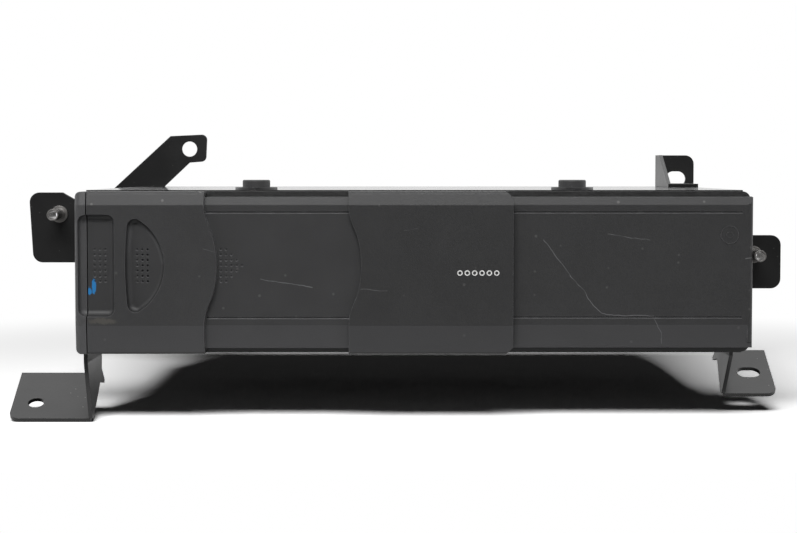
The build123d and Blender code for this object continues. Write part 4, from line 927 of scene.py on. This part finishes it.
# %% [markdown]
# ## Studio
#
# The object stands on a white table under a large soft lamp that hangs in front and above,
# so the space below and behind the case is in shade. The table ends just in front of the
# object, where the dark room begins. The world is white to the camera. In reflections it is
# bright behind the object, beside it and where the lamp's soft box hangs, and dark behind
# the camera, as a room with a lit backdrop is. That keeps the faces that look at the camera
# black and makes the faces seen at a low angle shine. Light that has already bounced off a
# matt surface meets neither the bright backdrop nor the table's added white, so the shade
# under the case stays deep.

# %% Floor
TABLE_EDGE, TABLE_DEPTH, TABLE_WIDTH = -0.2, 8.0, 8.0
FLOOR_NEAR, FLOOR_FAR = 0.24, 0.5
TABLE_MATT, TABLE_GAIN = 0.72, 1.95
object_low = Vector(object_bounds()[0])
table = bmesh.new()
corners = [table.verts.new((side * TABLE_WIDTH / 2, y, 0)) for side, y in
           ((-1, TABLE_EDGE), (1, TABLE_EDGE), (1, TABLE_DEPTH), (-1, TABLE_DEPTH))]
table.faces.new(corners)
floor_mesh = bpy.data.meshes.new("table_top")
table.to_mesh(floor_mesh)
table.free()
floor = bpy.data.objects.new("table_top", floor_mesh)
floor.location.z = object_low.z - 0.2 * MM
bpy.context.scene.collection.objects.link(floor)

table_white = bpy.data.materials.new("table_white")
table_white.use_nodes = True
tree = table_white.node_tree
shader = tree.nodes["Principled BSDF"]
shader.inputs["Roughness"].default_value = 0.8
shader.inputs["Specular IOR Level"].default_value = 0.0
path = add_node(tree, "ShaderNodeLightPath")
seen = maths(tree, "MAXIMUM", path.outputs["Is Camera Ray"],
             maths(tree, "MAXIMUM", path.outputs["Is Glossy Ray"],
                   path.outputs["Is Transmission Ray"]))
seen = maths(tree, "MULTIPLY", seen,
             maths(tree, "LESS_THAN", path.outputs["Diffuse Depth"], 0.5))
tree.links.new(mix_colour(tree, seen, (TABLE_MATT,) * 3, (TABLE_GAIN,) * 3),
               shader.inputs["Base Color"])
spot = add_node(tree, "ShaderNodeTexCoord").outputs["Object"]
from_middle = vector_maths(tree, "LENGTH", spot, output="Value")
far_off = remap(tree, from_middle, FLOOR_NEAR, FLOOR_FAR)
glow = add_node(tree, "ShaderNodeEmission", {"Color": (1.0, 1.0, 1.0, 1.0), "Strength": 1.0})
blend = add_node(tree, "ShaderNodeMixShader", {0: maths(tree, "MULTIPLY", far_off, seen)})
tree.links.new(shader.outputs["BSDF"], blend.inputs[1])
tree.links.new(glow.outputs["Emission"], blend.inputs[2])
tree.links.new(blend.outputs["Shader"], tree.nodes["Material Output"].inputs["Surface"])
floor.data.materials.append(table_white)
print("table at", round(floor.location.z * 1000, 2), "mm")

# %% World
FRONT_ROOM, SOFTBOX, CEILING, SIDES, ROOM_FILL = 0.1, 2.2, 1.4, 1.6, 0.006
world = bpy.data.worlds.new("studio")
bpy.context.scene.world = world
world.use_nodes = True
tree = world.node_tree
background = tree.nodes["Background"]
direction = add_node(tree, "ShaderNodeTexCoord").outputs["Generated"]
parts = add_node(tree, "ShaderNodeSeparateXYZ", {"Vector": direction})
behind = remap(tree, parts.outputs["Y"], -0.3, 0.4, FRONT_ROOM, 1.0)
rise = maths(tree, "MULTIPLY", remap(tree, parts.outputs["Z"], 0.3, 0.6, 0.0, SOFTBOX),
             remap(tree, parts.outputs["Z"], 0.9, 0.7))
softbox = maths(tree, "MULTIPLY", rise, remap(tree, parts.outputs["Y"], 0.1, -0.3))
above = remap(tree, parts.outputs["Z"], 0.3, 0.9, 0.0, CEILING)
beside = remap(tree, maths(tree, "ABSOLUTE", parts.outputs["X"]), 0.5, 0.85, 0.0, SIDES)
room = maths(tree, "ADD", maths(tree, "ADD", behind, beside), maths(tree, "ADD", softbox, above))
path = add_node(tree, "ShaderNodeLightPath")
direct = maths(tree, "LESS_THAN", path.outputs["Diffuse Depth"], 0.5)
shiny = maths(tree, "MULTIPLY", maths(tree, "MULTIPLY", path.outputs["Is Glossy Ray"], direct),
              room)
clear = maths(tree, "MAXIMUM", path.outputs["Is Camera Ray"], path.outputs["Is Transmission Ray"])
fill = maths(tree, "MULTIPLY", path.outputs["Is Diffuse Ray"], ROOM_FILL)
strength = maths(tree, "MAXIMUM", maths(tree, "MAXIMUM", shiny, clear), fill)
background.inputs["Color"].default_value = (1.0, 1.0, 1.0, 1.0)
tree.links.new(strength, background.inputs["Strength"])
print("world:", len(tree.nodes), "nodes")


# %% Lamps
def soft_lamp(name, place_at, target, width, height, power):
    """A large soft lamp aimed at a point."""
    data = bpy.data.lights.new(name, "AREA")
    data.shape = "RECTANGLE"
    data.size, data.size_y, data.energy = width, height, power
    lamp = bpy.data.objects.new(name, data)
    lamp.location = place_at
    aim = (Vector(target) - Vector(place_at)).to_track_quat("-Z", "Y")
    lamp.rotation_euler = aim.to_euler()
    bpy.context.scene.collection.objects.link(lamp)
    return lamp


KEY_RISE, KEY_DISTANCE = radians(38), 1.6
KEY_WIDTH, KEY_HEIGHT, KEY_POWER = 0.9, 0.4, 25.0
soft_lamp("key_lamp", (-0.15, -KEY_DISTANCE * cos(KEY_RISE), KEY_DISTANCE * sin(KEY_RISE)),
          (0, 0, 0.02), KEY_WIDTH, KEY_HEIGHT, KEY_POWER)
print("lamps lit")
